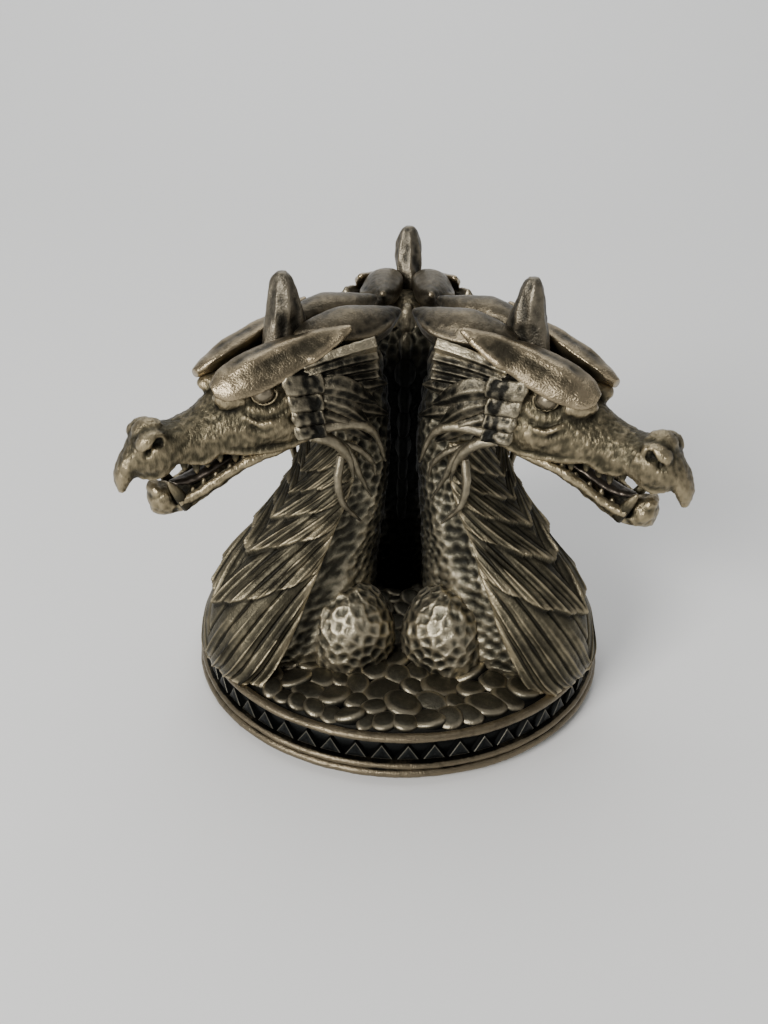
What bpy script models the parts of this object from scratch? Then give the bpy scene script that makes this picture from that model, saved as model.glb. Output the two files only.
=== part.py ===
"""Three-headed dragon stand: a round plinth with three identical dragon busts, 120 degrees apart, heads outward.

Each bust is an assembly of glued castings. The frame is +Z up, with the origin at the centre of the underside.
One bust is modelled facing +X, x being the distance from the stand's axis, and is copied round the axis.
"""

import math

import bmesh
import bpy
from mathutils import Vector

MM = 0.001

# Driving dimensions, in millimetres.
BASE_RADIUS = 45.0
PLINTH_HEIGHT = 8.4
NECK_HEIGHT = 50.4
HEAD_REACH = 58.6
CLEARANCE = 0.3
PEG_CLEARANCE = 0.3

# Felt pad and plinth.
FELT_THICKNESS = 1.0
FELT_INSET = 2.0
FLANGE_HEIGHT = 3.1
BEAD_STEP = 0.5
DRUM_INSET = 3.4
PLINTH_SIDES = 54

# Triangle band, rim ring and pebble floor.
BAND_THICKNESS = 0.7
TRIANGLE_COUNT = 54
TRIANGLE_RELIEF = 1.0
TRIANGLE_FILL = 0.92
RIM_WIDTH = 3.0
RIM_OUT = 1.3
RIM_HEIGHT = 1.5
FLOOR_THICKNESS = 0.9

# Pegs of the bust, the head and the horn.
BUST_PEG_RADIUS = 4.0
BUST_PEG_LENGTH = 4.5
BUST_PEG_SEAT = 0.45
HEAD_PEG_RADIUS = 2.4
HEAD_PEG_LENGTH = 9.0
HORN_PEG_RADIUS = 1.3
HORN_PEG_LENGTH = 3.5
PEG_SIDES = 12

# Smoothness of the lofted castings.
BODY_SIDES = 16
HEAD_SIDES = 12
PLATE_SIDES = 8

BUST_DIRECTIONS = {"left": 210.0, "right": 330.0, "rear": 90.0}

# The tables below are drawn on a bust of these sizes, and scaled from them to the driving dimensions.
DRAWN_BASE_RADIUS = 45.0
DRAWN_NECK_HEIGHT = 50.4
DRAWN_HEAD_REACH = 58.6
DRAWN_JAW_CORNER = 60.0

# Horizontal sections of the neck: height, back x, front x, half width, widening towards the front.
NECK_SECTIONS = (
    (9.9, 5.8, 39.2, 9.6, 0.16),
    (14.0, 6.2, 41.4, 10.2, 0.16),
    (22.0, 6.8, 39.8, 9.9, 0.14),
    (30.0, 6.8, 35.2, 9.2, 0.12),
    (38.0, 6.2, 28.2, 8.6, 0.08),
    (46.0, 5.2, 22.0, 8.3, 0.04),
    (54.0, 4.9, 19.4, 8.3, 0.0),
    (62.0, 5.6, 20.8, 7.9, 0.0),
    (70.0, 7.4, 22.0, 6.6, 0.0),
    (75.0, 10.0, 20.0, 4.0, 0.0),
)

# Horizontal sections of the feather mantle: height, rear edge x, front x, half width at the rear edge.
MANTLE_SECTIONS = (
    (10.8, 37.5, 45.8, 12.2),
    (14.0, 34.5, 46.2, 12.9),
    (22.0, 30.0, 44.4, 12.8),
    (30.0, 26.2, 39.8, 12.0),
    (38.0, 21.8, 32.2, 10.7),
    (46.0, 17.6, 25.6, 9.9),
    (52.0, 15.6, 22.4, 9.3),
    (57.0, 15.0, 20.8, 8.6),
)

# Lofts along a path: x, y, z, half width, rise above the path, drop below it.
SKULL_PATH = (
    (9.5, 0.0, 70.0, 5.0, 5.0, 5.5),
    (13.0, 0.0, 70.0, 7.3, 7.2, 8.3),
    (18.0, 0.0, 69.5, 8.5, 8.2, 9.3),
    (24.0, 0.0, 68.5, 9.2, 8.2, 8.8),
    (29.0, 0.0, 67.0, 9.2, 8.2, 7.8),
    (34.0, 0.0, 65.6, 8.6, 7.4, 7.0),
    (38.5, 0.0, 64.3, 7.0, 5.8, 5.6),
    (42.5, 0.0, 63.0, 5.6, 4.4, 5.0),
    (46.5, 0.0, 62.0, 5.0, 3.7, 4.4),
    (50.0, 0.0, 61.4, 5.2, 4.4, 5.2),
    (53.0, 0.0, 60.6, 5.0, 5.0, 4.8),
    (55.2, 0.0, 59.2, 4.2, 3.9, 3.4),
    (56.8, 0.0, 57.2, 3.0, 2.2, 2.0),
    (57.5, 0.0, 55.0, 1.8, 1.3, 1.2),
    (57.4, 0.0, 53.4, 0.7, 0.5, 0.5),
)
JAW_PATH = (
    (24.0, 0.0, 60.4, 6.6, 1.8, 1.6),
    (29.0, 0.0, 58.4, 7.0, 1.5, 1.2),
    (34.5, 0.0, 57.3, 6.6, 0.9, 1.1),
    (39.5, 0.0, 54.8, 5.8, 1.3, 1.7),
    (44.3, 0.0, 51.8, 4.8, 1.6, 2.4),
    (48.0, 0.0, 50.2, 4.2, 2.0, 2.8),
    (51.0, 0.0, 50.4, 3.6, 3.2, 2.8),
    (53.0, 0.0, 50.0, 2.2, 2.0, 2.0),
    (54.0, 0.0, 49.6, 0.8, 0.7, 0.7),
)
TONGUE_PATH = (
    (38.0, 0.0, 57.0, 1.6, 0.6, 0.6),
    (42.0, 0.0, 55.6, 2.0, 0.7, 0.7),
    (46.0, 0.0, 54.2, 1.7, 0.6, 0.6),
    (49.0, 0.0, 54.6, 0.6, 0.3, 0.3),
)
HORN_PATH = (
    (25.2, 0.0, 76.4, 3.8, 4.6, 4.6),
    (25.2, 0.0, 79.5, 3.4, 4.2, 4.3),
    (25.3, 0.0, 83.0, 2.8, 3.2, 3.2),
    (25.5, 0.0, 86.5, 2.2, 2.3, 2.3),
    (25.5, 0.0, 88.4, 1.6, 1.7, 1.7),
    (25.5, 0.0, 89.2, 0.9, 0.9, 0.9),
)
BROW_PATH = (
    (17.3, 10.3, 81.0, 0.6, 0.5, 0.5),
    (20.0, 9.6, 79.9, 1.7, 1.2, 1.0),
    (24.0, 8.3, 78.3, 2.8, 1.7, 1.2),
    (28.5, 6.9, 76.7, 3.8, 2.0, 1.4),
    (33.0, 5.9, 75.0, 4.4, 2.2, 1.5),
    (37.0, 5.4, 73.4, 4.1, 2.0, 1.4),
    (40.0, 4.9, 72.2, 2.7, 1.5, 1.0),
    (41.5, 4.5, 71.6, 0.7, 0.5, 0.5),
)
CREST_PATH = (
    (4.3, 4.8, 80.6, 0.6, 0.6, 0.6),
    (6.4, 5.0, 80.1, 2.4, 2.0, 2.2),
    (9.8, 5.2, 79.5, 3.6, 3.0, 3.4),
    (14.0, 5.2, 79.2, 4.0, 3.4, 3.8),
    (18.5, 4.7, 79.0, 3.7, 3.0, 3.5),
    (22.2, 3.9, 78.6, 2.5, 2.0, 2.4),
    (24.4, 3.4, 78.2, 0.8, 0.6, 0.8),
)
# Outline of the cheek frill in x and z: jaw corner, hanging tendrils, rear rays and ear fin.
FRILL_OUTLINE = (
    (27.0, 61.5),
    (24.6, 58.6),
    (20.6, 53.4),
    (18.4, 46.4),
    (16.9, 46.9),
    (18.2, 53.6),
    (18.6, 58.4),
    (15.2, 55.4),
    (13.4, 49.4),
    (12.0, 50.0),
    (12.6, 56.0),
    (16.6, 62.0),
    (11.2, 60.6),
    (16.6, 66.4),
    (11.0, 67.4),
    (17.0, 70.6),
    (11.2, 73.2),
    (17.6, 74.6),
    (12.0, 79.0),
    (19.0, 77.0),
    (25.6, 75.4),
    (29.0, 70.6),
)
FRILL_THICKNESS = 1.5
FRILL_LATERAL = 9.4
FRILL_FLARE = 0.1
BROW_TILT = 29.0
CREST_TILT = 20.0
EYE_CENTRE = (33.4, 8.1, 70.2)
EYE_RADIUS = 2.3
HAUNCH_CENTRE = (16.5, 10.0, 14.6)
HAUNCH_SIZE = (8.5, 8.5, 12.2)
RIDGE_BOTTOM = 30.0
RIDGE_TOP = 74.0
RIDGE_PLATES = 6
RIDGE_HALF_WIDTH = 2.1
RIDGE_HEIGHT = 1.7

FLOOR_TOP = FELT_THICKNESS + 2 * CLEARANCE + PLINTH_HEIGHT - FELT_THICKNESS + FLOOR_THICKNESS
JAW_CORNER_HEIGHT = FLOOR_TOP + NECK_HEIGHT
HEAD_SCALE = HEAD_REACH / DRAWN_HEAD_REACH
BASE_SCALE = BASE_RADIUS / DRAWN_BASE_RADIUS
DRAWN_FLOOR = DRAWN_JAW_CORNER - DRAWN_NECK_HEIGHT


def clear_scene():
    """Removes whatever the scene holds."""
    for obj in list(bpy.data.objects):
        bpy.data.objects.remove(obj)


def make_material(name, colour, roughness, metallic):
    """A plain Principled material."""
    material = bpy.data.materials.new(name)
    material.use_nodes = True
    shader = material.node_tree.nodes["Principled BSDF"]
    shader.inputs["Base Color"].default_value = (*colour, 1.0)
    shader.inputs["Roughness"].default_value = roughness
    shader.inputs["Metallic"].default_value = metallic
    return material


def head_point(x, y, z):
    """A drawn point of the head, scaled about the stand's axis and the jaw corner's height."""
    height = JAW_CORNER_HEIGHT + HEAD_SCALE * (z - DRAWN_JAW_CORNER)
    return Vector((HEAD_SCALE * x, HEAD_SCALE * y, height)) * MM


def body_scale(z):
    """The sideways scale at a drawn height: the plinth's at the floor and the head's at the jaw corner."""
    share = min(max((z - DRAWN_FLOOR) / DRAWN_NECK_HEIGHT, 0.0), 1.0)
    return BASE_SCALE + (HEAD_SCALE - BASE_SCALE) * share


def body_point(x, y, z):
    """A drawn point of the neck or mantle, stretched with the neck and the plinth."""
    if z > DRAWN_JAW_CORNER:
        return head_point(x, y, z)
    scale = body_scale(z)
    height = FLOOR_TOP + (z - DRAWN_FLOOR) * NECK_HEIGHT / DRAWN_NECK_HEIGHT
    return Vector((scale * x, scale * y, height)) * MM


def rounded(angle, power):
    """The cosine and sine of a superellipse: power 2 is an ellipse, and more is squarer."""
    c, s = math.cos(angle), math.sin(angle)
    return (
        math.copysign(abs(c) ** (2 / power), c),
        math.copysign(abs(s) ** (2 / power), s),
    )


def skin(name, rings, material):
    """A closed object over rings of points, with its first and last ring filled."""
    mesh = bmesh.new()
    loops = [[mesh.verts.new(point) for point in ring] for ring in rings]
    for lower, upper in zip(loops, loops[1:]):
        count = len(lower)
        for i in range(count):
            j = (i + 1) % count
            mesh.faces.new((lower[i], lower[j], upper[j], upper[i]))
    mesh.faces.new(list(reversed(loops[0])))
    mesh.faces.new(loops[-1])
    bmesh.ops.recalc_face_normals(mesh, faces=mesh.faces)
    return add_object(name, mesh, material)


def add_object(name, mesh, material):
    """Links an object made from a bmesh, shaded smooth except at sharp edges."""
    data = bpy.data.meshes.new(name)
    mesh.to_mesh(data)
    mesh.free()
    data.shade_smooth()
    data.set_sharp_from_angle(angle=math.radians(40))
    data.materials.append(material)
    obj = bpy.data.objects.new(name, data)
    bpy.context.scene.collection.objects.link(obj)
    return obj


def loft(name, rows, sides, material, place=head_point, power=2.2, tilt=0.0, mirror=1):
    """A solid along a path that runs forwards or upwards. tilt leans the sections' outer side down, in degrees."""
    centres = [place(row[0], mirror * row[1], row[2]) for row in rows]
    lean = math.radians(tilt) * mirror
    rings = []
    for i, row in enumerate(rows):
        along = centres[min(i + 1, len(rows) - 1)] - centres[max(i - 1, 0)]
        along.normalize()
        across = (Vector((0, 1, 0)) - along * along.y).normalized()
        up = along.cross(across)
        side = across * math.cos(lean) - up * math.sin(lean)
        rise = up * math.cos(lean) + across * math.sin(lean)
        scale = HEAD_SCALE * MM
        ring = []
        for k in range(sides):
            c, s = rounded(2 * math.pi * k / sides, power)
            height = row[4] if s > 0 else row[5]
            ring.append(centres[i] + side * c * row[3] * scale + rise * s * height * scale)
        rings.append(ring)
    return skin(name, rings, material)


def circle(radius, height, sides, centre_x=0.0):
    """A level ring of points, in millimetres."""
    angles = [2 * math.pi * k / sides for k in range(sides)]
    return [Vector((centre_x + radius * math.cos(a), radius * math.sin(a), height)) * MM for a in angles]


def turned_disc(name, profile, sides, material):
    """A disc turned about the stand's axis, from its outer profile of radius and height, bottom to top."""
    return skin(name, [circle(radius, height, sides) for radius, height in profile], material)


def turned_ring(name, profile, sides, material):
    """A ring turned about the stand's axis, from a closed profile of radius and height, in millimetres."""
    mesh = bmesh.new()
    rings = [[mesh.verts.new(point) for point in circle(radius, height, sides)] for radius, height in profile]
    for lower, upper in zip(rings, rings[1:] + rings[:1]):
        for i in range(sides):
            j = (i + 1) % sides
            mesh.faces.new((lower[i], lower[j], upper[j], upper[i]))
    bmesh.ops.recalc_face_normals(mesh, faces=mesh.faces)
    return add_object(name, mesh, material)


def cylinder(name, radius, bottom, top, centre_x, sides, material):
    """An upright cylinder on the bust's middle plane, in millimetres."""
    return skin(name, [circle(radius, height, sides, centre_x) for height in (bottom, top)], material)


def ellipsoid(name, centre, size, material, rings=8, sides=12):
    """A ball or egg shape in millimetres, with small flats at its poles."""
    rows = []
    for i in range(rings + 1):
        angle = math.pi * (0.06 + 0.88 * i / rings) - math.pi / 2
        ring = []
        for k in range(sides):
            turn = 2 * math.pi * k / sides
            flat = math.cos(angle)
            ring.append(
                Vector(
                    (
                        centre[0] + size[0] * flat * math.cos(turn),
                        centre[1] + size[1] * flat * math.sin(turn),
                        centre[2] + size[2] * math.sin(angle),
                    )
                )
                * MM
            )
        rows.append(ring)
    return skin(name, rows, material)


def grown_copy(obj, clearance):
    """A hidden cutter: the evaluated shape of an object, grown outwards by a clearance in millimetres."""
    graph = bpy.context.evaluated_depsgraph_get()
    data = bpy.data.meshes.new_from_object(obj.evaluated_get(graph))
    data.transform(obj.matrix_world)
    mesh = bmesh.new()
    mesh.from_mesh(data)
    bmesh.ops.remove_doubles(mesh, verts=mesh.verts, dist=1e-6)
    mesh.normal_update()
    moves = [vertex.normal * clearance * MM for vertex in mesh.verts]
    for vertex, move in zip(mesh.verts, moves, strict=True):
        vertex.co += move
    mesh.to_mesh(data)
    mesh.free()
    cutter = bpy.data.objects.new("cutter_" + obj.name, data)
    bpy.context.scene.collection.objects.link(cutter)
    cutter.hide_render = True
    cutter.display_type = "WIRE"
    return cutter


def combine(obj, other, operation):
    """Adds a live Boolean of another object, which becomes a hidden helper."""
    modifier = obj.modifiers.new(operation.lower() + "_" + other.name, "BOOLEAN")
    modifier.operation = operation
    modifier.solver = "EXACT"
    modifier.object = other
    other.hide_render = True
    other.display_type = "WIRE"


def cut_clear(obj, *neighbours, clearance=CLEARANCE):
    """Cuts room for each neighbour out of an object."""
    for neighbour in neighbours:
        combine(obj, grown_copy(neighbour, clearance), "DIFFERENCE")


def drum_radius():
    """The plinth's drum, behind the triangle band."""
    return BASE_RADIUS - DRUM_INSET


def plinth_bottom():
    """The plinth's underside, a clearance above the felt."""
    return FELT_THICKNESS + CLEARANCE


def rim_top():
    """The top of the rim ring."""
    return plinth_bottom() + PLINTH_HEIGHT - FELT_THICKNESS + CLEARANCE + RIM_HEIGHT


def make_plinth(material):
    """The turned plinth: two beads round its foot and a drum that carries the band."""
    bottom = plinth_bottom()
    top = bottom + PLINTH_HEIGHT - FELT_THICKNESS
    middle = bottom + 0.55 * FLANGE_HEIGHT
    crown = bottom + FLANGE_HEIGHT
    upper = BASE_RADIUS - BEAD_STEP
    profile = (
        (BASE_RADIUS - 0.8, bottom),
        (BASE_RADIUS, bottom + 0.5),
        (BASE_RADIUS, middle - 0.5),
        (upper - 0.3, middle),
        (upper, middle + 0.3),
        (upper, crown - 0.4),
        (upper - 0.8, crown),
        (drum_radius(), crown),
        (drum_radius(), top),
    )
    return turned_disc("base_plinth", profile, PLINTH_SIDES, material)


def make_felt(material):
    """The felt disc glued under the plinth, on which the stand rests."""
    radius = BASE_RADIUS - FELT_INSET
    return turned_disc("felt_pad", ((radius, 0.0), (radius, FELT_THICKNESS)), PLINTH_SIDES, material)


def make_band(material):
    """The ring of raised triangles round the drum, points upwards."""
    inner = drum_radius() + CLEARANCE
    outer = inner + BAND_THICKNESS
    bottom = plinth_bottom() + FLANGE_HEIGHT + CLEARANCE
    top = plinth_bottom() + PLINTH_HEIGHT - FELT_THICKNESS
    mesh = bmesh.new()
    step = 2 * math.pi / TRIANGLE_COUNT
    half = 0.5 * step * TRIANGLE_FILL

    def vertex(radius, angle, height):
        return mesh.verts.new(Vector((radius * math.cos(angle), radius * math.sin(angle), height)) * MM)

    columns = []
    for k in range(TRIANGLE_COUNT):
        for turn, kind in ((-half, "left"), (0.0, "peak"), (half, "right")):
            angle = k * step + turn
            columns.append(
                {
                    "kind": kind,
                    "inner_low": vertex(inner, angle, bottom),
                    "inner_high": vertex(inner, angle, top),
                    "outer_low": vertex(outer, angle, bottom),
                    "outer_high": vertex(outer, angle, top),
                    "relief": vertex(outer + TRIANGLE_RELIEF, k * step, bottom + 0.25) if kind == "peak" else None,
                }
            )
    count = len(columns)
    for i, a in enumerate(columns):
        b = columns[(i + 1) % count]
        mesh.faces.new((a["inner_low"], a["inner_high"], b["inner_high"], b["inner_low"]))
        mesh.faces.new((a["inner_high"], a["outer_high"], b["outer_high"], b["inner_high"]))
        mesh.faces.new((a["inner_low"], b["inner_low"], b["outer_low"], a["outer_low"]))
        if a["kind"] == "left":
            peak = b["relief"]
            mesh.faces.new((a["outer_low"], peak, b["outer_high"]))
            mesh.faces.new((a["outer_low"], b["outer_high"], a["outer_high"]))
            mesh.faces.new((a["outer_low"], b["outer_low"], peak))
        elif a["kind"] == "peak":
            peak = a["relief"]
            mesh.faces.new((peak, b["outer_low"], a["outer_high"]))
            mesh.faces.new((a["outer_high"], b["outer_low"], b["outer_high"]))
            mesh.faces.new((a["outer_low"], b["outer_low"], peak))
        else:
            mesh.faces.new((a["outer_low"], b["outer_low"], b["outer_high"], a["outer_high"]))
    bmesh.ops.recalc_face_normals(mesh, faces=mesh.faces)
    return add_object("triangle_band", mesh, material)


def make_rim(material):
    """The rounded rim ring that caps the band and holds the pebble floor in."""
    outer = drum_radius() + CLEARANCE + BAND_THICKNESS + RIM_OUT
    inner = outer - RIM_WIDTH
    bottom = rim_top() - RIM_HEIGHT
    profile = (
        (inner, bottom),
        (outer, bottom),
        (outer, rim_top() - 0.5),
        (outer - 0.5, rim_top()),
        (inner + 0.5, rim_top()),
        (inner, rim_top() - 0.5),
    )
    return turned_ring("rim_ring", profile, PLINTH_SIDES, material)


def make_floor(material):
    """The disc that carries the pebbles, inside the rim ring."""
    radius = drum_radius() + CLEARANCE + BAND_THICKNESS + RIM_OUT - RIM_WIDTH - CLEARANCE
    bottom = plinth_bottom() + PLINTH_HEIGHT - FELT_THICKNESS + CLEARANCE
    return turned_disc("pebble_floor", ((radius, bottom), (radius, FLOOR_TOP)), PLINTH_SIDES, material)


def make_neck(material):
    """The scaled neck and chest, with the peg that glues it into the plinth."""
    rings = []
    for height, back, front, width, flare in NECK_SECTIONS:
        centre, reach = (back + front) / 2, (front - back) / 2
        ring = []
        for k in range(BODY_SIDES):
            c, s = rounded(2 * math.pi * k / BODY_SIDES, 2.4)
            ring.append(body_point(centre + reach * c, width * s * (1 + flare * c), height))
        rings.append(ring)
    neck = skin("neck", rings, material)
    foot = rings[0][0].z / MM
    peg_x = BASE_SCALE * DRAWN_BASE_RADIUS * BUST_PEG_SEAT
    peg = cylinder("neck_peg", BUST_PEG_RADIUS, foot - BUST_PEG_LENGTH, foot + 3.0, peg_x, PEG_SIDES, material)
    combine(neck, peg, "UNION")
    return neck, peg


def make_mantle(material):
    """The feather mantle that wraps the front of the neck: its outer form, before the neck is cut out of it."""
    rings = []
    for height, rear, front, width in MANTLE_SECTIONS:
        ring = []
        for k in range(BODY_SIDES):
            angle = -math.pi / 2 + math.pi * k / (BODY_SIDES - 1)
            ring.append(body_point(rear + (front - rear) * math.cos(angle) ** 0.8, width * math.sin(angle), height))
        rings.append(ring)
    return skin("mantle", rings, material)


def make_ridge(material):
    """The row of plates down the nape, overlapping like tiles."""
    sections = list(NECK_SECTIONS)
    pitch = (RIDGE_TOP - RIDGE_BOTTOM) / RIDGE_PLATES
    rows = []
    for plate in range(RIDGE_PLATES):
        for share, fullness in ((0.05, 0.35), (0.45, 1.0), (0.9, 0.7)):
            height = RIDGE_BOTTOM + pitch * (plate + share)
            back = back_of_neck(sections, height)
            rows.append((back, 0.0, height, RIDGE_HALF_WIDTH * fullness, RIDGE_HEIGHT * fullness, 1.6))
    return loft("dorsal_ridge", rows, PLATE_SIDES, material, place=body_point)


def back_of_neck(sections, height):
    """The neck's back x at a drawn height, between two of its sections."""
    for lower, upper in zip(sections, sections[1:]):
        if lower[0] <= height <= upper[0]:
            share = (height - lower[0]) / (upper[0] - lower[0])
            return lower[1] + (upper[1] - lower[1]) * share
    return sections[-1][1]


def make_haunch(side, mirror, material):
    """One rounded haunch at the foot of the neck, cut off above the floor."""
    x, y, z = (BASE_SCALE * place for place in HAUNCH_CENTRE)
    centre = (x, y * mirror, FLOOR_TOP + z - BASE_SCALE * DRAWN_FLOOR)
    haunch = ellipsoid("haunch_" + side, centre, [BASE_SCALE * half for half in HAUNCH_SIZE], material)
    reach = 2 * BASE_RADIUS
    floor = FLOOR_TOP + CLEARANCE
    combine(haunch, slab("below_" + side, (-reach, -reach, -reach), (reach, reach, floor), material), "DIFFERENCE")
    return haunch


def make_frill(side, mirror, material):
    """The cheek frill: a plate that flares backwards, with an ear fin, rays and two hanging tendrils."""
    rings = []
    for depth in (0.0, FRILL_THICKNESS):
        ring = []
        for x, z in FRILL_OUTLINE:
            lateral = FRILL_LATERAL + FRILL_FLARE * (FRILL_OUTLINE[-1][0] - x) + depth
            ring.append(head_point(x, mirror * lateral, z))
        rings.append(ring)
    return skin("frill_" + side, rings, material)


def slab(name, low, high, material):
    """A box between two corners, in millimetres."""
    rings = []
    for z in (low[2], high[2]):
        corners = ((low[0], low[1]), (high[0], low[1]), (high[0], high[1]), (low[0], high[1]))
        rings.append([Vector((x, y, z)) * MM for x, y in corners])
    return skin(name, rings, material)


def make_bust(bronze, dark, eye_glaze):
    """All the pieces of one bust, facing +X, cut clear of each other. Returns them by name."""
    neck, neck_peg = make_neck(bronze)
    mantle = make_mantle(bronze)
    skull = loft("skull", SKULL_PATH, HEAD_SIDES, bronze)
    jaw = loft("jaw", JAW_PATH, PLATE_SIDES + 2, bronze)
    tongue = loft("tongue", TONGUE_PATH, PLATE_SIDES, dark)
    horn = loft("horn", HORN_PATH, PLATE_SIDES + 2, bronze)
    ridge = make_ridge(bronze)
    pairs = {}
    for side, mirror in (("l", 1), ("r", -1)):
        pairs["brow_" + side] = loft(
            "brow_" + side, BROW_PATH, PLATE_SIDES + 2, bronze, tilt=BROW_TILT, mirror=mirror
        )
        pairs["crest_" + side] = loft(
            "crest_" + side, CREST_PATH, PLATE_SIDES + 2, bronze, tilt=CREST_TILT, mirror=mirror
        )
        pairs["frill_" + side] = make_frill(side, mirror, bronze)
        x, y, z = head_point(EYE_CENTRE[0], mirror * EYE_CENTRE[1], EYE_CENTRE[2]) / MM
        radius = HEAD_SCALE * EYE_RADIUS
        pairs["eye_" + side] = ellipsoid("eye_" + side, (x, y, z), (radius,) * 3, eye_glaze, rings=6, sides=10)
        pairs["haunch_" + side] = make_haunch(side, mirror, bronze)

    peg_x, _, peg_top = head_point(15.5, 0, 64.0) / MM
    head_peg = cylinder(
        "head_peg", HEAD_PEG_RADIUS, peg_top - HEAD_PEG_LENGTH, peg_top, peg_x, PEG_SIDES, bronze
    )
    combine(skull, head_peg, "UNION")
    horn_x, _, horn_foot = head_point(25.2, 0, 76.8) / MM
    horn_peg = cylinder(
        "horn_peg", HORN_PEG_RADIUS, horn_foot - HORN_PEG_LENGTH, horn_foot, horn_x, PLATE_SIDES, bronze
    )
    combine(horn, horn_peg, "UNION")

    for side in ("l", "r"):
        brow, crest, frill = pairs["brow_" + side], pairs["crest_" + side], pairs["frill_" + side]
        cut_clear(brow, horn, pairs["eye_" + side])
        cut_clear(crest, brow, horn)
        cut_clear(skull, pairs["eye_" + side], brow, crest)
        cut_clear(frill, brow, crest)
    cut_clear(skull, horn)
    cut_clear(neck, skull)
    cut_clear(jaw, skull, neck)
    cut_clear(tongue, jaw, skull)
    for side in ("l", "r"):
        cut_clear(neck, pairs["crest_" + side])
        cut_clear(pairs["frill_" + side], skull, neck, jaw)
        cut_clear(mantle, pairs["frill_" + side])
        cut_clear(pairs["haunch_" + side], neck)
        cut_clear(ridge, pairs["crest_" + side], pairs["haunch_" + side])
    cut_clear(mantle, neck, jaw, skull)
    cut_clear(ridge, neck, skull)
    return {
        "neck": neck,
        "mantle": mantle,
        "skull": skull,
        "jaw": jaw,
        "tongue": tongue,
        "horn": horn,
        "dorsal_ridge": ridge,
        **pairs,
    }, neck_peg


def copy_busts(pieces):
    """Copies each finished piece round the axis, under one empty for each bust."""
    graph = bpy.context.evaluated_depsgraph_get()
    for name, piece in pieces.items():
        pieces[name] = bpy.data.meshes.new_from_object(piece.evaluated_get(graph))
    for bust, azimuth in BUST_DIRECTIONS.items():
        carrier = bpy.data.objects.new("bust_" + bust, None)
        carrier.rotation_euler.z = math.radians(azimuth)
        bpy.context.scene.collection.objects.link(carrier)
        for name, mesh in pieces.items():
            copy = bpy.data.objects.new(f"{bust}_{name}", mesh)
            bpy.context.scene.collection.objects.link(copy)
            copy.parent = carrier


def main():
    """Builds the stand: the busts first, then the plinth and what it carries."""
    clear_scene()
    bronze = make_material("antique_bronze", (0.17, 0.13, 0.09), 0.42, 0.7)
    dark = make_material("black_patina", (0.04, 0.035, 0.03), 0.5, 0.5)
    eye_glaze = make_material("polished_eye", (0.3, 0.25, 0.17), 0.25, 0.8)
    felt = make_material("felt", (0.03, 0.03, 0.03), 1.0, 0.0)

    pieces, neck_peg = make_bust(bronze, dark, eye_glaze)
    rim = make_rim(bronze)
    cut_clear(pieces["neck"], rim)
    cut_clear(pieces["mantle"], rim)
    peg_hole = grown_copy(neck_peg, PEG_CLEARANCE)
    drawn = [obj for obj in bpy.data.objects if obj not in (rim, peg_hole)]
    copy_busts(pieces)
    for obj in drawn:
        bpy.data.objects.remove(obj)

    plinth = make_plinth(bronze)
    floor = make_floor(bronze)
    make_felt(felt)
    make_band(dark)
    for bust, azimuth in BUST_DIRECTIONS.items():
        hole = bpy.data.objects.new("peg_hole_" + bust, peg_hole.data)
        hole.rotation_euler.z = math.radians(azimuth)
        bpy.context.scene.collection.objects.link(hole)
        combine(plinth, hole, "DIFFERENCE")
        combine(floor, hole, "DIFFERENCE")


main()
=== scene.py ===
"""Dresses the three-headed dragon stand.

It sculpts the castings, lays the pebbles and lights the stand on a pale floor.

Lengths in the tables are millimetres. One bust is sculpted facing +X, x being the distance from the stand's
axis, and turned to each of its three places.
"""

from __future__ import annotations

import logging
import math
from dataclasses import dataclass, field
from enum import Enum
from typing import Iterable, Sequence

import bpy
import numpy as np
from mathutils import Matrix, Vector, kdtree, noise


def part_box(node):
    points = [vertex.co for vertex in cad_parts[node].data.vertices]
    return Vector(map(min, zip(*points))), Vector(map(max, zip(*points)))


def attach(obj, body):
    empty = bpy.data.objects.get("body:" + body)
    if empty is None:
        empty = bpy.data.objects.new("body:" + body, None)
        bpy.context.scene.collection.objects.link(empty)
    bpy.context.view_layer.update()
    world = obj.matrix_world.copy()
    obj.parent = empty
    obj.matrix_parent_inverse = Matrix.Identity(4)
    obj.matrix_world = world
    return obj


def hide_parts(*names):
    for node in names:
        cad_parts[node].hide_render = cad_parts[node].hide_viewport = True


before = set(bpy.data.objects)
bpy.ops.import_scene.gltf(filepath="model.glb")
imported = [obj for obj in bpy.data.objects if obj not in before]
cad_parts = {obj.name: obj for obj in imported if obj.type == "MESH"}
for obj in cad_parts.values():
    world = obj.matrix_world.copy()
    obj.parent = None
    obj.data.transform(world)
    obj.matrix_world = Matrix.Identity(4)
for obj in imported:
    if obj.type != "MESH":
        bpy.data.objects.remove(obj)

LOG = logging.getLogger("dragon_stand")
MM = 0.001
BODY = "root"
Row = Sequence[float]
Colour = tuple[float, float, float]
# A line on the clay, the half width of the fold along it, and how far the fold stands out.
Fold = tuple[tuple[Row, ...], float, float]
BRONZE = "antique_bronze"


class Side(Enum):
    """The two sides of a bust, by the sign of their y."""

    LEFT = 1
    RIGHT = -1

    @property
    def letter(self) -> str:
        """The letter that ends the names of this side's pieces."""
        return "l" if self is Side.LEFT else "r"


class Bust(Enum):
    """The three busts, by the direction they face, in degrees from +X."""

    LEFT = 210.0
    RIGHT = 330.0
    REAR = 90.0

    @property
    def word(self) -> str:
        """The word that starts the names of this bust's pieces."""
        return self.name.lower()

    def turn(self) -> np.ndarray:
        """The matrix that turns a bust facing +X to its place."""
        return np.array(Matrix.Rotation(math.radians(self.value), 3, "Z"))


# ------------------------------------------------------------------------------
# Clay: meshes held as arrays while they are sculpted.


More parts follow.
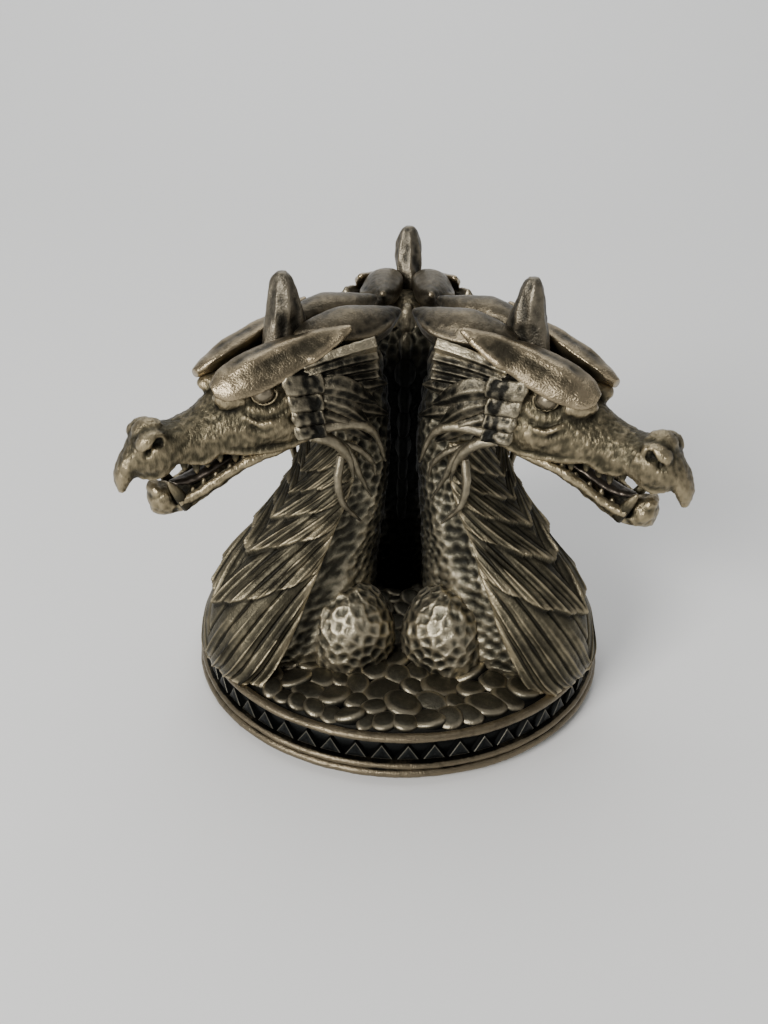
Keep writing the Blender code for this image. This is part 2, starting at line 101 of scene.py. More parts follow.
def blended(rows: Sequence[Row], count: int) -> np.ndarray:
    """Smooth rows between the given ones, on a curve through them.

    Args:
        rows: The rows to pass through, each with the same number of values.
        count: How many rows to return, spread evenly over the given ones.

    Returns:
        An array of count rows.
    """
    table = np.array(rows, float)
    last = len(table) - 1
    slope = np.gradient(table, axis=0)
    at = np.linspace(0, last, count)
    low = np.minimum(at.astype(int), last - 1)
    t = (at - low)[:, None]
    a, b, m, n = table[low], table[low + 1], slope[low], slope[low + 1]
    leaving = (2 * t**3 - 3 * t**2 + 1) * a + (t**3 - 2 * t**2 + t) * m
    return leaving + (3 * t**2 - 2 * t**3) * b + (t**3 - t**2) * n


def superellipse(angles: np.ndarray, power: np.ndarray | float) -> tuple[np.ndarray, np.ndarray]:
    """The unit section at some angles: power 2 is a circle, and more is squarer.

    Args:
        angles: Angles round the section, in radians.
        power: How square it is, one value or one for each angle.

    Returns:
        Its two coordinates.
    """
    c, s = np.cos(angles), np.sin(angles)
    return np.sign(c) * np.abs(c) ** (2 / power), np.sign(s) * np.abs(s) ** (2 / power)


def spread(points: np.ndarray, gap: float, rng: np.random.Generator) -> np.ndarray:
    """Picks points at random, none nearer than a gap to another.

    Args:
        points: The points to pick from.
        gap: The least distance between two picks.
        rng: The source of the random order.

    Returns:
        The picks.
    """
    steps = [(i, j, k) for i in (-1, 0, 1) for j in (-1, 0, 1) for k in (-1, 0, 1)]
    boxes: dict[tuple[int, int, int], list[np.ndarray]] = {}
    picks = []
    for point in points[rng.permutation(len(points))]:
        i, j, k = (int(n) for n in np.floor(point / gap))
        near = [q for a, b, c in steps for q in boxes.get((i + a, j + b, k + c), ())]
        if near and ((np.array(near) - point) ** 2).sum(1).min() < gap * gap:
            continue
        boxes.setdefault((i, j, k), []).append(point)
        picks.append(point)
    return np.array(picks)


def smoothstep(low: float, high: float, value: np.ndarray) -> np.ndarray:
    """A soft step from 0 at low to 1 at high."""
    t = np.clip((value - low) / (high - low), 0, 1)
    return t * t * (3 - 2 * t)


def unit(vectors: np.ndarray) -> np.ndarray:
    """The vectors, each made 1 long."""
    return vectors / np.linalg.norm(vectors, axis=-1, keepdims=True)


def webbed(ring: np.ndarray, after: np.ndarray) -> np.ndarray:
    """Triangles between rings of point numbers.

    Args:
        ring: The rings, as ring by point.
        after: The ring that each of them is joined to.

    Returns:
        The triangles.
    """
    along, across = np.roll(ring, -1, axis=1), np.roll(after, -1, axis=1)
    halves = (np.stack([ring, along, across], -1), np.stack([ring, across, after], -1))
    return np.concatenate([half.reshape(-1, 3) for half in halves])


@dataclass
class Clay:
    """A closed triangle mesh in millimetres, and the brushes that shape it."""

    points: np.ndarray
    faces: np.ndarray
    _edges: np.ndarray | None = field(default=None, repr=False)

    @classmethod
    def from_rings(cls, rings: np.ndarray) -> "Clay":
        """A closed skin over rings of points, with a fan on its first and last ring.

        Args:
            rings: Points, as ring by point by coordinate.

        Returns:
            The skin, facing outwards.
        """
        count, around = rings.shape[:2]
        index = np.arange(count * around).reshape(count, around)
        faces = [webbed(index[:-1], index[1:])]
        points = np.concatenate([rings.reshape(-1, 3), rings[:1].mean(1), rings[-1:].mean(1)])
        first, final = count * around, count * around + 1
        ring, after = index[0], np.roll(index[0], -1)
        faces.append(np.stack([np.full(around, first), after, ring], -1))
        ring, after = index[-1], np.roll(index[-1], -1)
        faces.append(np.stack([np.full(around, final), ring, after], -1))
        return cls(points, np.concatenate(faces)).outward()

    @classmethod
    def joined(cls, parts: Iterable["Clay"]) -> "Clay":
        """Several pieces of clay as one mesh of separate shells."""
        points, faces, offset = [], [], 0
        for part in parts:
            points.append(part.points)
            faces.append(part.faces + offset)
            offset += len(part.points)
        return cls(np.concatenate(points), np.concatenate(faces))

    @classmethod
    def from_object(cls, obj: bpy.types.Object) -> "Clay":
        """The evaluated mesh of an object, as triangles in millimetres."""
        graph = bpy.context.evaluated_depsgraph_get()
        mesh = bpy.data.meshes.new_from_object(obj.evaluated_get(graph))
        mesh.calc_loop_triangles()
        points = np.empty(len(mesh.vertices) * 3)
        faces = np.empty(len(mesh.loop_triangles) * 3, np.int64)
        mesh.vertices.foreach_get("co", points)
        mesh.loop_triangles.foreach_get("vertices", faces)
        bpy.data.meshes.remove(mesh)
        return cls(points.reshape(-1, 3) / MM, faces.reshape(-1, 3))

    def outward(self) -> "Clay":
        """Turns the faces round if they enclose a negative volume."""
        a, b, c = (self.points[self.faces[:, k]] for k in range(3))
        if np.einsum("ij,ij->", a, np.cross(b, c)) < 0:
            self.faces = self.faces[:, ::-1].copy()
        return self

    def mirrored(self) -> "Clay":
        """The same piece for the other side of the bust."""
        return Clay(self.points * (1, -1, 1), self.faces[:, ::-1].copy())

    @property
    def edges(self) -> np.ndarray:
        """Each edge once, as two point numbers."""
        if self._edges is None:
            pairs = np.concatenate([self.faces[:, [0, 1]], self.faces[:, [1, 2]], self.faces[:, [2, 0]]])
            self._edges = np.unique(np.sort(pairs, axis=1), axis=0)
        return self._edges

    def normals(self) -> np.ndarray:
        """The outward direction at each point."""
        a, b, c = (self.points[self.faces[:, k]] for k in range(3))
        across = np.cross(b - a, c - a)
        total = np.zeros_like(self.points)
        for k in range(3):
            for axis in range(3):
                total[:, axis] += np.bincount(self.faces[:, k], across[:, axis], len(self.points))
        return total / np.maximum(np.linalg.norm(total, axis=1, keepdims=True), 1e-12)

    def averaged(self, values: np.ndarray) -> np.ndarray:
        """Each point's mean over its neighbours."""
        a, b = self.edges.T
        count = np.bincount(a, minlength=len(values)) + np.bincount(b, minlength=len(values))
        table = values.reshape(len(values), -1)
        total = np.empty_like(table)
        for axis in range(table.shape[1]):
            column = table[:, axis]
            total[:, axis] = np.bincount(a, column[b], len(values)) + np.bincount(b, column[a], len(values))
        return (total / np.maximum(count, 1)[:, None]).reshape(values.shape)

    def smooth(self, rounds: int, strength: float = 0.6) -> "Clay":
        """Relaxes the surface without shrinking it much.

        Args:
            rounds: How many times each point moves towards its neighbours and part of the way back.
            strength: The share of the way it moves.

        Returns:
            The same clay.
        """
        for _ in range(rounds):
            self.points += (self.averaged(self.points) - self.points) * strength
            self.points -= (self.averaged(self.points) - self.points) * strength * 0.75
        return self

    def push(self, amount: np.ndarray) -> "Clay":
        """Moves each point outwards by its amount."""
        self.points += self.normals() * amount[:, None]
        return self

    def from_line(self, line: Sequence[Row]) -> tuple[np.ndarray, np.ndarray]:
        """How far each point is from a broken line.

        Args:
            line: The line's points.

        Returns:
            Each point's distance, and how far along the line its nearest place is, from 0 to 1.
        """
        nodes = np.array(line, float)
        best = np.full(len(self.points), np.inf)
        along = np.zeros(len(self.points))
        for k, (a, b) in enumerate(zip(nodes, nodes[1:])):
            reach = b - a
            t = np.clip((self.points - a) @ reach / max(reach @ reach, 1e-12), 0, 1)
            distance = np.linalg.norm(self.points - a - t[:, None] * reach, axis=1)
            nearer = distance < best
            best[nearer] = distance[nearer]
            along[nearer] = (k + t[nearer]) / (len(nodes) - 1)
        return best, along

    def ridge(self, line: Sequence[Row], width: float, height: float, both: bool = True) -> "Clay":
        """Raises a soft ridge along a line, or cuts a groove where height is negative.

        Args:
            line: The line's points.
            width: The ridge's half width.
            height: How far it stands out.
            both: Whether the line on the other side of the bust gets one too.

        Returns:
            The same clay.
        """
        curve = blended(line, 6 * len(line)) if len(line) > 2 else np.array(line, float)
        amount = np.zeros(len(self.points))
        for flip in (1, -1) if both else (1,):
            distance, along = self.from_line(curve * (1, flip, 1))
            ends = np.minimum(1, 6 * np.minimum(along, 1 - along) + 0.25)
            amount += height * ends * np.exp(-((distance / width) ** 2))
        return self.push(amount)

    def dab(self, centre: Row, radius: float, height: float, both: bool = True) -> "Clay":
        """Raises a round swelling, or presses a dimple where height is negative.

        Args:
            centre: Its middle.
            radius: Its radius, at which it has faded to about a third.
            height: How far it stands out.
            both: Whether the other side of the bust gets one too.

        Returns:
            The same clay.
        """
        amount = np.zeros(len(self.points))
        for flip in (1, -1) if both else (1,):
            distance = np.linalg.norm(self.points - np.array(centre) * (1, flip, 1), axis=1)
            amount += height * np.exp(-((distance / radius) ** 2))
        return self.push(amount)

    def rough(
        self, size: float, height: float, stretch: Row = (1, 1, 1), mask: np.ndarray | float = 1.0
    ) -> "Clay":
        """Breaks the surface up with noise.

        Args:
            size: The size of its lumps.
            height: How far they stand out.
            stretch: How much longer the lumps are along each axis.
            mask: How much of the height each point takes.

        Returns:
            The same clay.
        """
        places = self.points / (size * np.array(stretch, float))
        return self.push(np.array([noise.noise(p) for p in places]) * height * mask)

    def hammered(
        self, seeds: np.ndarray, bowl: float, rim: float, rim_width: float, mask: np.ndarray | float = 1.0
    ) -> "Clay":
        """Beats shallow bowls into the surface, with raised borders between them.

        Args:
            seeds: The bowls' middles.
            bowl: The bowls' depth.
            rim: The borders' height.
            rim_width: The borders' half width.
            mask: How much of that each point takes.

        Returns:
            The same clay.
        """
        tree = kdtree.KDTree(len(seeds))
        for k, seed in enumerate(seeds):
            tree.insert(seed, k)
        tree.balance()
        near = np.array([[hit[2] for hit in tree.find_n(p, 2)] for p in self.points])
        border = near[:, 1] - near[:, 0]
        hollow = np.exp(-((near[:, 0] / (np.median(near.sum(1)) / 2.5)) ** 2))
        return self.push((rim * np.exp(-((border / rim_width) ** 2)) - bowl * hollow) * mask)

    def patches(self, size: float) -> np.ndarray:
        """Soft patches over the surface, each point's share of them from 0 to 1."""
        return smoothstep(-0.25, 0.3, np.array([noise.noise(p) for p in self.points / size + 31.7]))

    def wear(self, gain: float = 1.0) -> np.ndarray:
        """How rubbed each point is: 0 in the recesses, 0.5 on the flat and 1 on the ridges.

        Args:
            gain: How strongly the relief shows.

        Returns:
            One value for each point.
        """
        out = self.normals()
        shape = self.points.copy()
        relief = np.zeros(len(shape))
        done = 0
        for rounds, size in ((2, 0.035), (8, 0.12), (28, 0.35), (80, 0.9)):
            for _ in range(rounds - done):
                shape = self.averaged(shape)
            done = rounds
            relief += np.tanh(np.einsum("ij,ij->i", self.points - shape, out) / size) * 0.25
        return np.clip(0.5 + 0.5 * gain * self.averaged(relief), 0, 1)


def loft(rows: Sequence[Row], lengthways: int, around: int, power: float = 2.2, tilt: float = 0.0) -> Clay:
    """A solid along a path.

    Args:
        rows: x, y, z, half width, rise above the path and drop below it.
        lengthways: How many sections it has.
        around: How many points each section has.
        power: How square its sections are.
        tilt: How far the sections' outer side leans down, in degrees.

    Returns:
        The solid.
    """
    table = blended(rows, lengthways)
    table[:, 3:] = np.maximum(table[:, 3:], 0.05)
    centres = table[:, :3]
    along = unit(np.gradient(centres, axis=0))
    across = unit(np.array([0, 1, 0]) - along * along[:, 1:2])
    up = np.cross(along, across)
    lean = math.radians(tilt)
    side = across * math.cos(lean) - up * math.sin(lean)
    rise = up * math.cos(lean) + across * math.sin(lean)
    c, s = superellipse(np.linspace(0, 2 * math.pi, around, endpoint=False), power)
    height = np.where(s[None, :] > 0, table[:, 4:5], table[:, 5:6]) * s
    rings = centres[:, None] + side[:, None] * (table[:, 3:4] * c)[..., None]
    return Clay.from_rings(rings + rise[:, None] * height[..., None])


def upright_sections(rows: Sequence[Row], lengthways: int, around: int) -> Clay:
    """A solid of sections across the bust's length, such as a skull.

    Args:
        rows: x, bottom z, z where it is widest, top z, half width, squareness above and squareness below.
        lengthways: How many sections it has.
        around: How many points each section has.

    Returns:
        The solid.
    """
    angles = np.linspace(0, 2 * math.pi, around, endpoint=False)
    rings = []
    for x, low, widest, high, width, above, below in blended(rows, lengthways):
        power = np.where(np.sin(angles) > 0, above, below)
        c, s = superellipse(angles, power)
        z = widest + np.where(s > 0, high - widest, widest - low) * s
        rings.append(np.stack([np.full(around, x), width * c, z], 1))
    return Clay.from_rings(np.array(rings))


def egg(centre: Row, size: Row, rings: int = 24, around: int = 36) -> Clay:
    """A ball or egg shape.

    Args:
        centre: Its middle.
        size: Its half sizes along the axes.
        rings: How many rings of points it has.
        around: How many points each ring has.

    Returns:
        The solid.
    """
    polar = np.linspace(0.02, math.pi - 0.02, rings)[:, None]
    turn = np.linspace(0, 2 * math.pi, around, endpoint=False)[None]
    level = np.cos(polar) + 0 * turn
    ball = np.stack([np.sin(polar) * np.cos(turn), np.sin(polar) * np.sin(turn), level], -1)
    return Clay.from_rings(ball * np.array(size) + np.array(centre))


def fused(parts: Iterable[Clay], voxel: float, rounds: int) -> Clay:
    """Overlapping pieces as one even skin.

    Args:
        parts: The pieces.
        voxel: The size of the skin's faces.
        rounds: How many times it is smoothed, which blends the pieces.

    Returns:
        The skin.
    """
    lump = to_object("lump", Clay.joined(parts))
    remesh = lump.modifiers.new("fuse", "REMESH")
    remesh.mode = "VOXEL"
    remesh.voxel_size = voxel * MM
    skin = Clay.from_object(lump)
    bpy.data.objects.remove(lump)
    return skin.outward().smooth(rounds)


def to_object(name: str, clay: Clay, wear: np.ndarray | None = None) -> bpy.types.Object:
    """A smooth object from clay.

    Args:
        name: The object's name.
        clay: The clay.
        wear: How rubbed each point is, and on the busts' pieces also the painted shade between the necks,
        kept as the attribute that the finishes read.

    Returns:
        The object, linked to the scene.
    """
    mesh = bpy.data.meshes.new(name)
    mesh.vertices.add(len(clay.points))
    mesh.vertices.foreach_set("co", (clay.points * MM).ravel())
    mesh.loops.add(clay.faces.size)
    mesh.loops.foreach_set("vertex_index", clay.faces.ravel())
    mesh.polygons.add(len(clay.faces))
    mesh.polygons.foreach_set("loop_start", np.arange(0, clay.faces.size, 3))
    mesh.update(calc_edges=True)
    mesh.shade_smooth()
    if wear is not None:
        mesh.attributes.new("wear", "FLOAT", "POINT").data.foreach_set("value", wear)
    obj = bpy.data.objects.new(name, mesh)
    bpy.context.scene.collection.objects.link(obj)
    return obj


# ------------------------------------------------------------------------------
# Finishes.


class Shading:
    """A new material, and short ways to add nodes to it."""

    def __init__(self, name: str) -> None:
        """Starts the material.

        Args:
            name: Its name.
        """
        self.material = bpy.data.materials.new(name)
        self.material.use_nodes = True
        self.tree = self.material.node_tree
        self.shader = self.tree.nodes["Principled BSDF"]
        self.place = self.tree.nodes.new("ShaderNodeTexCoord").outputs["Object"]

    def noise(self, lump_mm: float, detail: float, stretch: Row = (1, 1, 1)) -> bpy.types.Node:
        """Adds a noise pattern fixed to the object.

        Args:
            lump_mm: The size of its lumps.
            detail: How many finer layers it has.
            stretch: How much longer the lumps are along each axis.

        Returns:
            Its node.
        """
        mapping = self.tree.nodes.new("ShaderNodeMapping")
        mapping.inputs["Scale"].default_value = tuple(1.0 / s for s in stretch)
        self.tree.links.new(self.place, mapping.inputs["Vector"])
        node = self.tree.nodes.new("ShaderNodeTexNoise")
        node.inputs["Scale"].default_value = 1.0 / (lump_mm * MM)
        node.inputs["Detail"].default_value = detail
        self.tree.links.new(mapping.outputs["Vector"], node.inputs["Vector"])
        return node

    def math(
        self, operation: str, first: bpy.types.NodeSocket, second: bpy.types.NodeSocket | float
    ) -> bpy.types.NodeSocket:
        """Adds a sum, product or other operation on two values.

        Args:
            operation: The operation's name.
            first: The first value.
            second: The second value, or a number.

        Returns:
            The result.
        """
        node = self.tree.nodes.new("ShaderNodeMath")
        node.operation = operation
        self.tree.links.new(first, node.inputs[0])
        if isinstance(second, float):
            node.inputs[1].default_value = second
        else:
            self.tree.links.new(second, node.inputs[1])
        return node.outputs[0]

    def varied(
        self, value: bpy.types.NodeSocket, node: bpy.types.Node, amount: float
    ) -> bpy.types.NodeSocket:
        """A value with noise added to it, as much above it as below.

        Args:
            value: The value.
            node: The noise.
            amount: How far apart the noise's two ends are made.

        Returns:
            The sum.
        """
        centred = self.math("SUBTRACT", node.outputs["Fac"], 0.5)
        return self.math("ADD", value, self.math("MULTIPLY", centred, amount))

    def colour(self, value: bpy.types.NodeSocket, stops: Sequence[tuple[float, Colour]]) -> None:
        """Makes a value the base colour, by way of a ramp.

        Args:
            value: The value.
            stops: The ramp's positions and their colours.
        """
        ramp = self.tree.nodes.new("ShaderNodeValToRGB")
        while len(ramp.color_ramp.elements) < len(stops):
            ramp.color_ramp.elements.new(0.5)
        for element, (position, colour) in zip(ramp.color_ramp.elements, stops, strict=True):
            element.position = position
            element.color = (*colour, 1.0)
        self.tree.links.new(value, ramp.inputs["Fac"])
        self.tree.links.new(ramp.outputs["Color"], self.shader.inputs["Base Color"])

    def bump(self, node: bpy.types.Node, strength: float, height_mm: float) -> None:
        """Makes a noise the surface's fine relief.

        Args:
            node: The noise.
            strength: How much of it shows.
            height_mm: Its height.
        """
        bump = self.tree.nodes.new("ShaderNodeBump")
        bump.inputs["Strength"].default_value = strength
        bump.inputs["Distance"].default_value = height_mm * MM
        self.tree.links.new(node.outputs["Fac"], bump.inputs["Height"])
        self.tree.links.new(bump.outputs["Normal"], self.shader.inputs["Normal"])


@dataclass(frozen=True)
class BronzeFinish:
    """Antiqued bronze: black patina in recesses, brown metal on the flat, bright metal on ridges."""

    name: str
    patina: Colour = (0.008, 0.0085, 0.008)
    metal: Colour = (0.1, 0.092, 0.066)
    rubbed: Colour = (0.4, 0.35, 0.245)
    dark_from: float = 0.12
    dark_until: float = 0.36
    dark_share: float = 0.35
    bright_from: float = 0.86
    roughness_low: float = 0.34
    roughness_high: float = 0.56
    metallic: float = 0.9
    mottle: float = 0.2
    blotch_mm: float = 7.0
    speck_mm: float = 0.9
    grain_mm: float = 0.35
    grain_stretch: Row = (1.0, 1.0, 1.0)
    grain_depth: float = 0.5
    grain_height_mm: float = 0.25

    def material(self) -> bpy.types.Material:
        """Builds the finish.

        Returns:
            Its material.
        """
        made = Shading(self.name)
        # The wear attribute holds the rubbing, and on the busts' pieces also the painted shade between the
        # necks.
        worn = made.tree.nodes.new("ShaderNodeAttribute")
        worn.attribute_name = "wear"
        mixed = made.varied(worn.outputs["Fac"], made.noise(self.blotch_mm, 4.0), self.mottle)
        mixed = made.varied(mixed, made.noise(self.speck_mm, 3.0), 0.8 * self.mottle)
        shade = tuple(self.dark_share * c for c in self.metal)
        stops = ((self.dark_from, self.patina), (self.dark_until, shade))
        made.colour(mixed, (*stops, (0.5, self.metal), (self.bright_from, self.rubbed)))
        rough = made.tree.nodes.new("ShaderNodeMapRange")
        rough.inputs["From Min"].default_value = 0.2
        rough.inputs["From Max"].default_value = 0.9
        rough.inputs["To Min"].default_value = self.roughness_high
        rough.inputs["To Max"].default_value = self.roughness_low
        made.tree.links.new(mixed, rough.inputs["Value"])
        made.tree.links.new(rough.outputs["Result"], made.shader.inputs["Roughness"])
        made.shader.inputs["Metallic"].default_value = self.metallic
        made.bump(made.noise(self.grain_mm, 3.0, self.grain_stretch), self.grain_depth, self.grain_height_mm)
        return made.material


@dataclass(frozen=True)
class FeltFinish:
    """Black felt with a fuzzy, mottled nap."""

    name: str = "felt"
    dark: Colour = (0.012, 0.012, 0.013)
    light: Colour = (0.05, 0.05, 0.053)
    nap_mm: float = 0.4
    nap_height_mm: float = 0.3

    def material(self) -> bpy.types.Material:
        """Builds the finish.

        Returns:
            Its material.
        """
        made = Shading(self.name)
        nap = made.noise(self.nap_mm, 5.0)
        nap.inputs["Distortion"].default_value = 1.5
        made.colour(nap.outputs["Fac"], ((0.0, self.dark), (1.0, self.light)))
        made.shader.inputs["Roughness"].default_value = 1.0
        made.shader.inputs["Sheen Weight"].default_value = 0.3
        made.bump(nap, 0.6, self.nap_height_mm)
        return made.material


class Finishes:
    """The stand's finishes, each made once."""

    def __init__(self) -> None:
        """Builds every material."""
        self.scaled = BronzeFinish("antique_bronze").material()
        self.feather = BronzeFinish(
            "feather_bronze",
            metal=(0.075, 0.066, 0.043),
            rubbed=(0.5, 0.42, 0.27),
            grain_mm=0.4,
            grain_depth=0.55,
            mottle=0.1,
        ).material()
        self.skin = BronzeFinish(
            "stippled_bronze",
            metal=(0.066, 0.057, 0.035),
            rubbed=(0.31, 0.255, 0.158),
            grain_mm=0.42,
            grain_stretch=(1.0, 1.0, 2.6),
            grain_depth=0.75,
            dark_until=0.3,
            mottle=0.18,
        ).material()
        self.plate = BronzeFinish(
            "rubbed_bronze",
            metal=(0.05, 0.042, 0.027),
            rubbed=(0.31, 0.25, 0.16),
            roughness_low=0.27,
            roughness_high=0.5,
            grain_depth=0.5,
            dark_until=0.28,
            mottle=0.12,
        ).material()
        self.shell = BronzeFinish(
            "shell_bronze",
            metal=(0.017, 0.016, 0.0128),
            rubbed=(0.145, 0.12, 0.08),
            roughness_low=0.34,
            roughness_high=0.5,
            grain_depth=0.5,
            mottle=0.3,
        ).material()
        self.horn = BronzeFinish(
            "horn_bronze",
            metal=(0.045, 0.041, 0.032),
            rubbed=(0.26, 0.225, 0.165),
            grain_depth=0.6,
            mottle=0.26,
        ).material()
        self.fin = BronzeFinish(
            "fin_bronze", metal=(0.026, 0.024, 0.018), rubbed=(0.3, 0.26, 0.18), dark_until=0.42, mottle=0.3
        ).material()
        self.stone = BronzeFinish(
            "pebble_bronze",
            metal=(0.066, 0.06, 0.043),
            rubbed=(0.31, 0.27, 0.19),
            grain_depth=0.4,
            dark_until=0.38,
            mottle=0.2,
        ).material()
        self.turned = BronzeFinish(
            "turned_bronze",
            metal=(0.019, 0.0165, 0.011),
            rubbed=(0.165, 0.135, 0.088),
            grain_depth=0.6,
            dark_until=0.42,
            mottle=0.5,
        ).material()
        self.band = BronzeFinish(
            "band_bronze",
            metal=(0.012, 0.0135, 0.0135),
            rubbed=(0.2, 0.185, 0.145),
            grain_depth=0.15,
            dark_until=0.44,
            mottle=0.16,
        ).material()
        self.patina = BronzeFinish(
            "mouth_patina", metal=(0.02, 0.018, 0.015), rubbed=(0.12, 0.1, 0.08), grain_depth=0.2
        ).material()
        self.eye = BronzeFinish(
            "polished_eye",
            metal=(0.05, 0.044, 0.03),
            rubbed=(0.2, 0.17, 0.12),
            roughness_low=0.36,
            roughness_high=0.46,
            grain_depth=0.05,
        ).material()
        self.felt = FeltFinish().material()


def grime(points: np.ndarray) -> np.ndarray:
    """How much of its rubbed colour each point keeps, which paints shade into the gap between the necks.

    The necks hide that gap and the lower neck from the light, and no hand reaches it, so the patina there is
    never rubbed; the colour there is darkened towards the black patina.

    Args:
        points: Points in millimetres.

    Returns:
        A share of the rubbing that each of them takes, low where the shade is painted.
    """
    outside = smoothstep(5.0, 15.0, np.hypot(points[:, 0], points[:, 1]))
    above = smoothstep(62.0, 74.0, points[:, 2])
    return 0.12 + 0.88 * np.maximum(outside, above)


@dataclass
class Workshop:
    """Places finished pieces, and keeps count of them."""

    finishes: Finishes
    count: int = 0

    def place(
        self,
        node: str,
        clay: Clay,
        finish: bpy.types.Material,
        slot: str = BRONZE,
        wear: np.ndarray | None = None,
        name: str | None = None,
    ) -> bpy.types.Object:
        """Makes clay into the piece that stands for a CAD node.

        Args:
            node: The node.
            clay: The piece's shape, in place.
            finish: Its material.
            slot: The record's slot that its finish belongs to; it is passed on but not used.
            wear: How rubbed each of its points is, and on the busts' pieces also the painted shade between
                the necks,
            or None to work it out.
            name: Its name, or None to name it after the node.

        Returns:
            The piece.
        """
        obj = to_object(name or node + "_casting", clay, clay.wear() if wear is None else wear)
        return self.adopt(obj, finish, slot, node)

    def adopt(
        self, obj: bpy.types.Object, finish: bpy.types.Material, slot: str, node: str | None = None
    ) -> bpy.types.Object:
        """Gives an object its finish and its body, and hides the CAD node that it stands for.

        Args:
            obj: The object, in place.
            finish: Its material.
            slot: The record's slot that its finish belongs to; not used.
            node: The CAD node that it stands for, or None where it is detail on another piece.

        Returns:
            The object.
        """
        obj.data.materials.clear()
        obj.data.materials.append(finish)
        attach(obj, BODY)
        if node:
            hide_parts(node)
        self.count += 1
        LOG.info("%s: %d faces", obj.name, len(obj.data.polygons))
        return obj

    def on_busts(
        self,
        node: str,
        clay: Clay,
        finish: bpy.types.Material,
        slot: str = BRONZE,
        polish: np.ndarray | float = 0.0,
        contrast: float = 1.0,
    ) -> None:
        """Puts a copy of a sculpted piece on each bust.

        Args:
            node: The CAD node that it stands for, without the bust's word.
            clay: Its shape on a bust facing +X.
            finish: Its material.
            slot: The record's slot that its finish belongs to; it is passed on but not used.
            polish: How much more than its relief says each point is rubbed; a negative value darkens it,
                which on the
            nape plates is painted shade.
            contrast: How strongly its relief shows in its finish.
        """
        # The last factor paints shade into the gap between the necks and down the lower neck, which the
        # necks hide from the light.
        wear = (clay.wear(contrast) + polish) * grime(clay.points)
        for bust in Bust:
            copy = Clay(clay.points @ bust.turn().T, clay.faces)
            self.place(f"{bust.word}_{node}", copy, finish, slot, wear)

    def on_both_sides(
        self,
        node: str,
        clay: Clay,
        finish: bpy.types.Material,
        slot: str = BRONZE,
        polish: np.ndarray | float = 0.0,
        contrast: float = 1.0,
    ) -> None:
        """Puts a sculpted piece and its mirror image on each bust.

        Args:
            node: The CAD node of the left one, without the bust's word or the side's letter.
            clay: The left one's shape on a bust facing +X.
            finish: Its material.
            slot: The record's slot that its finish belongs to; it is passed on but not used.
            polish: How much more than its relief says each point is rubbed.
            contrast: How strongly its relief shows in its finish.
        """
        for side in Side:
            piece = clay if side is Side.LEFT else clay.mirrored()
            self.on_busts(f"{node}_{side.letter}", piece, finish, slot, polish, contrast)


# ------------------------------------------------------------------------------
# Geometry Nodes.


class NodeRecipe:
    """A Geometry Nodes tree with named inputs, which is baked into a plain mesh."""

    def __init__(self, name: str) -> None:
        """Starts an empty recipe.

        Args:
            name: The tree's name.
        """
        self.tree = bpy.data.node_groups.new(name, "GeometryNodeTree")
        self.tree.interface.new_socket("Geometry", in_out="INPUT", socket_type="NodeSocketGeometry")
        self.tree.interface.new_socket("Geometry", in_out="OUTPUT", socket_type="NodeSocketGeometry")
        self.start = self.tree.nodes.new("NodeGroupInput")
        self.end = self.tree.nodes.new("NodeGroupOutput")
        self.sockets: dict[str, str] = {}

    def size(self, name: str, kind: str = "NodeSocketFloat") -> bpy.types.NodeSocket:
        """Adds a named input, and returns its socket on the group's input node."""
        socket = self.tree.interface.new_socket(name, in_out="INPUT", socket_type=kind)
        self.sockets[name] = socket.identifier
        return self.start.outputs[name]

    def node(self, kind: str, **links: object) -> bpy.types.Node:
        """Adds a node.

        Args:
            kind: The node's type.
            **links: Its settings, or its inputs with underscores for spaces.
                Each is a value or another node's output.

        Returns:
            The node.
        """
        made = self.tree.nodes.new(kind)
        for name, value in links.items():
            if hasattr(made, name) and not isinstance(value, bpy.types.NodeSocket):
                setattr(made, name, value)
        for name, value in links.items():
            if hasattr(made, name) and not isinstance(value, bpy.types.NodeSocket):
                continue
            matches = [s for s in made.inputs if s.name.replace(" ", "_") == name and s.enabled]
            if isinstance(value, bpy.types.NodeSocket):
                self.tree.links.new(value, matches[0])
            else:
                matches[0].default_value = value
        return made

    def finish(self, geometry: bpy.types.NodeSocket) -> None:
        """Ends the tree in real meshes with the material that its Finish input names."""
        real = self.node("GeometryNodeRealizeInstances", Geometry=geometry)
        finish = self.size("Finish", "NodeSocketMaterial")
        coat = self.node("GeometryNodeSetMaterial", Geometry=real.outputs[0], Material=finish)
        self.tree.links.new(coat.outputs[0], self.end.inputs[0])

    def bake(self, name: str, seed_mesh: bpy.types.Mesh, values: dict[str, object]) -> bpy.types.Object:
        """Runs the tree on a mesh.

        Args:
            name: The finished object's name.
            seed_mesh: The mesh that the tree starts from.
            values: The value of each named input.

        Returns:
            A plain object with the result.
        """
        worker = bpy.data.objects.new(name + "_worker", seed_mesh)
        bpy.context.scene.collection.objects.link(worker)
        modifier = worker.modifiers.new("recipe", "NODES")
        modifier.node_group = self.tree
        for key, value in values.items():
            modifier[self.sockets[key]] = value
        graph = bpy.context.evaluated_depsgraph_get()
        mesh = bpy.data.meshes.new_from_object(worker.evaluated_get(graph))
        bpy.data.objects.remove(worker)
        mesh.name = name
        obj = bpy.data.objects.new(name, mesh)
        bpy.context.scene.collection.objects.link(obj)
        return obj


def points_mesh(name: str, places: np.ndarray, **attributes: np.ndarray) -> bpy.types.Mesh:
    """A mesh of loose points in millimetres, with attributes on them.

    Args:
        name: The mesh's name.
        places: The points.
        **attributes: One vector for each point, by attribute name.

    Returns:
        The mesh.
    """
    mesh = bpy.data.meshes.new(name)
    mesh.vertices.add(len(places))
    mesh.vertices.foreach_set("co", (places * MM).astype(np.float32).ravel())
    for key, values in attributes.items():
        data = mesh.attributes.new(key, "FLOAT_VECTOR", "POINT").data
        data.foreach_set("vector", np.asarray(values, np.float32).ravel())
    return mesh


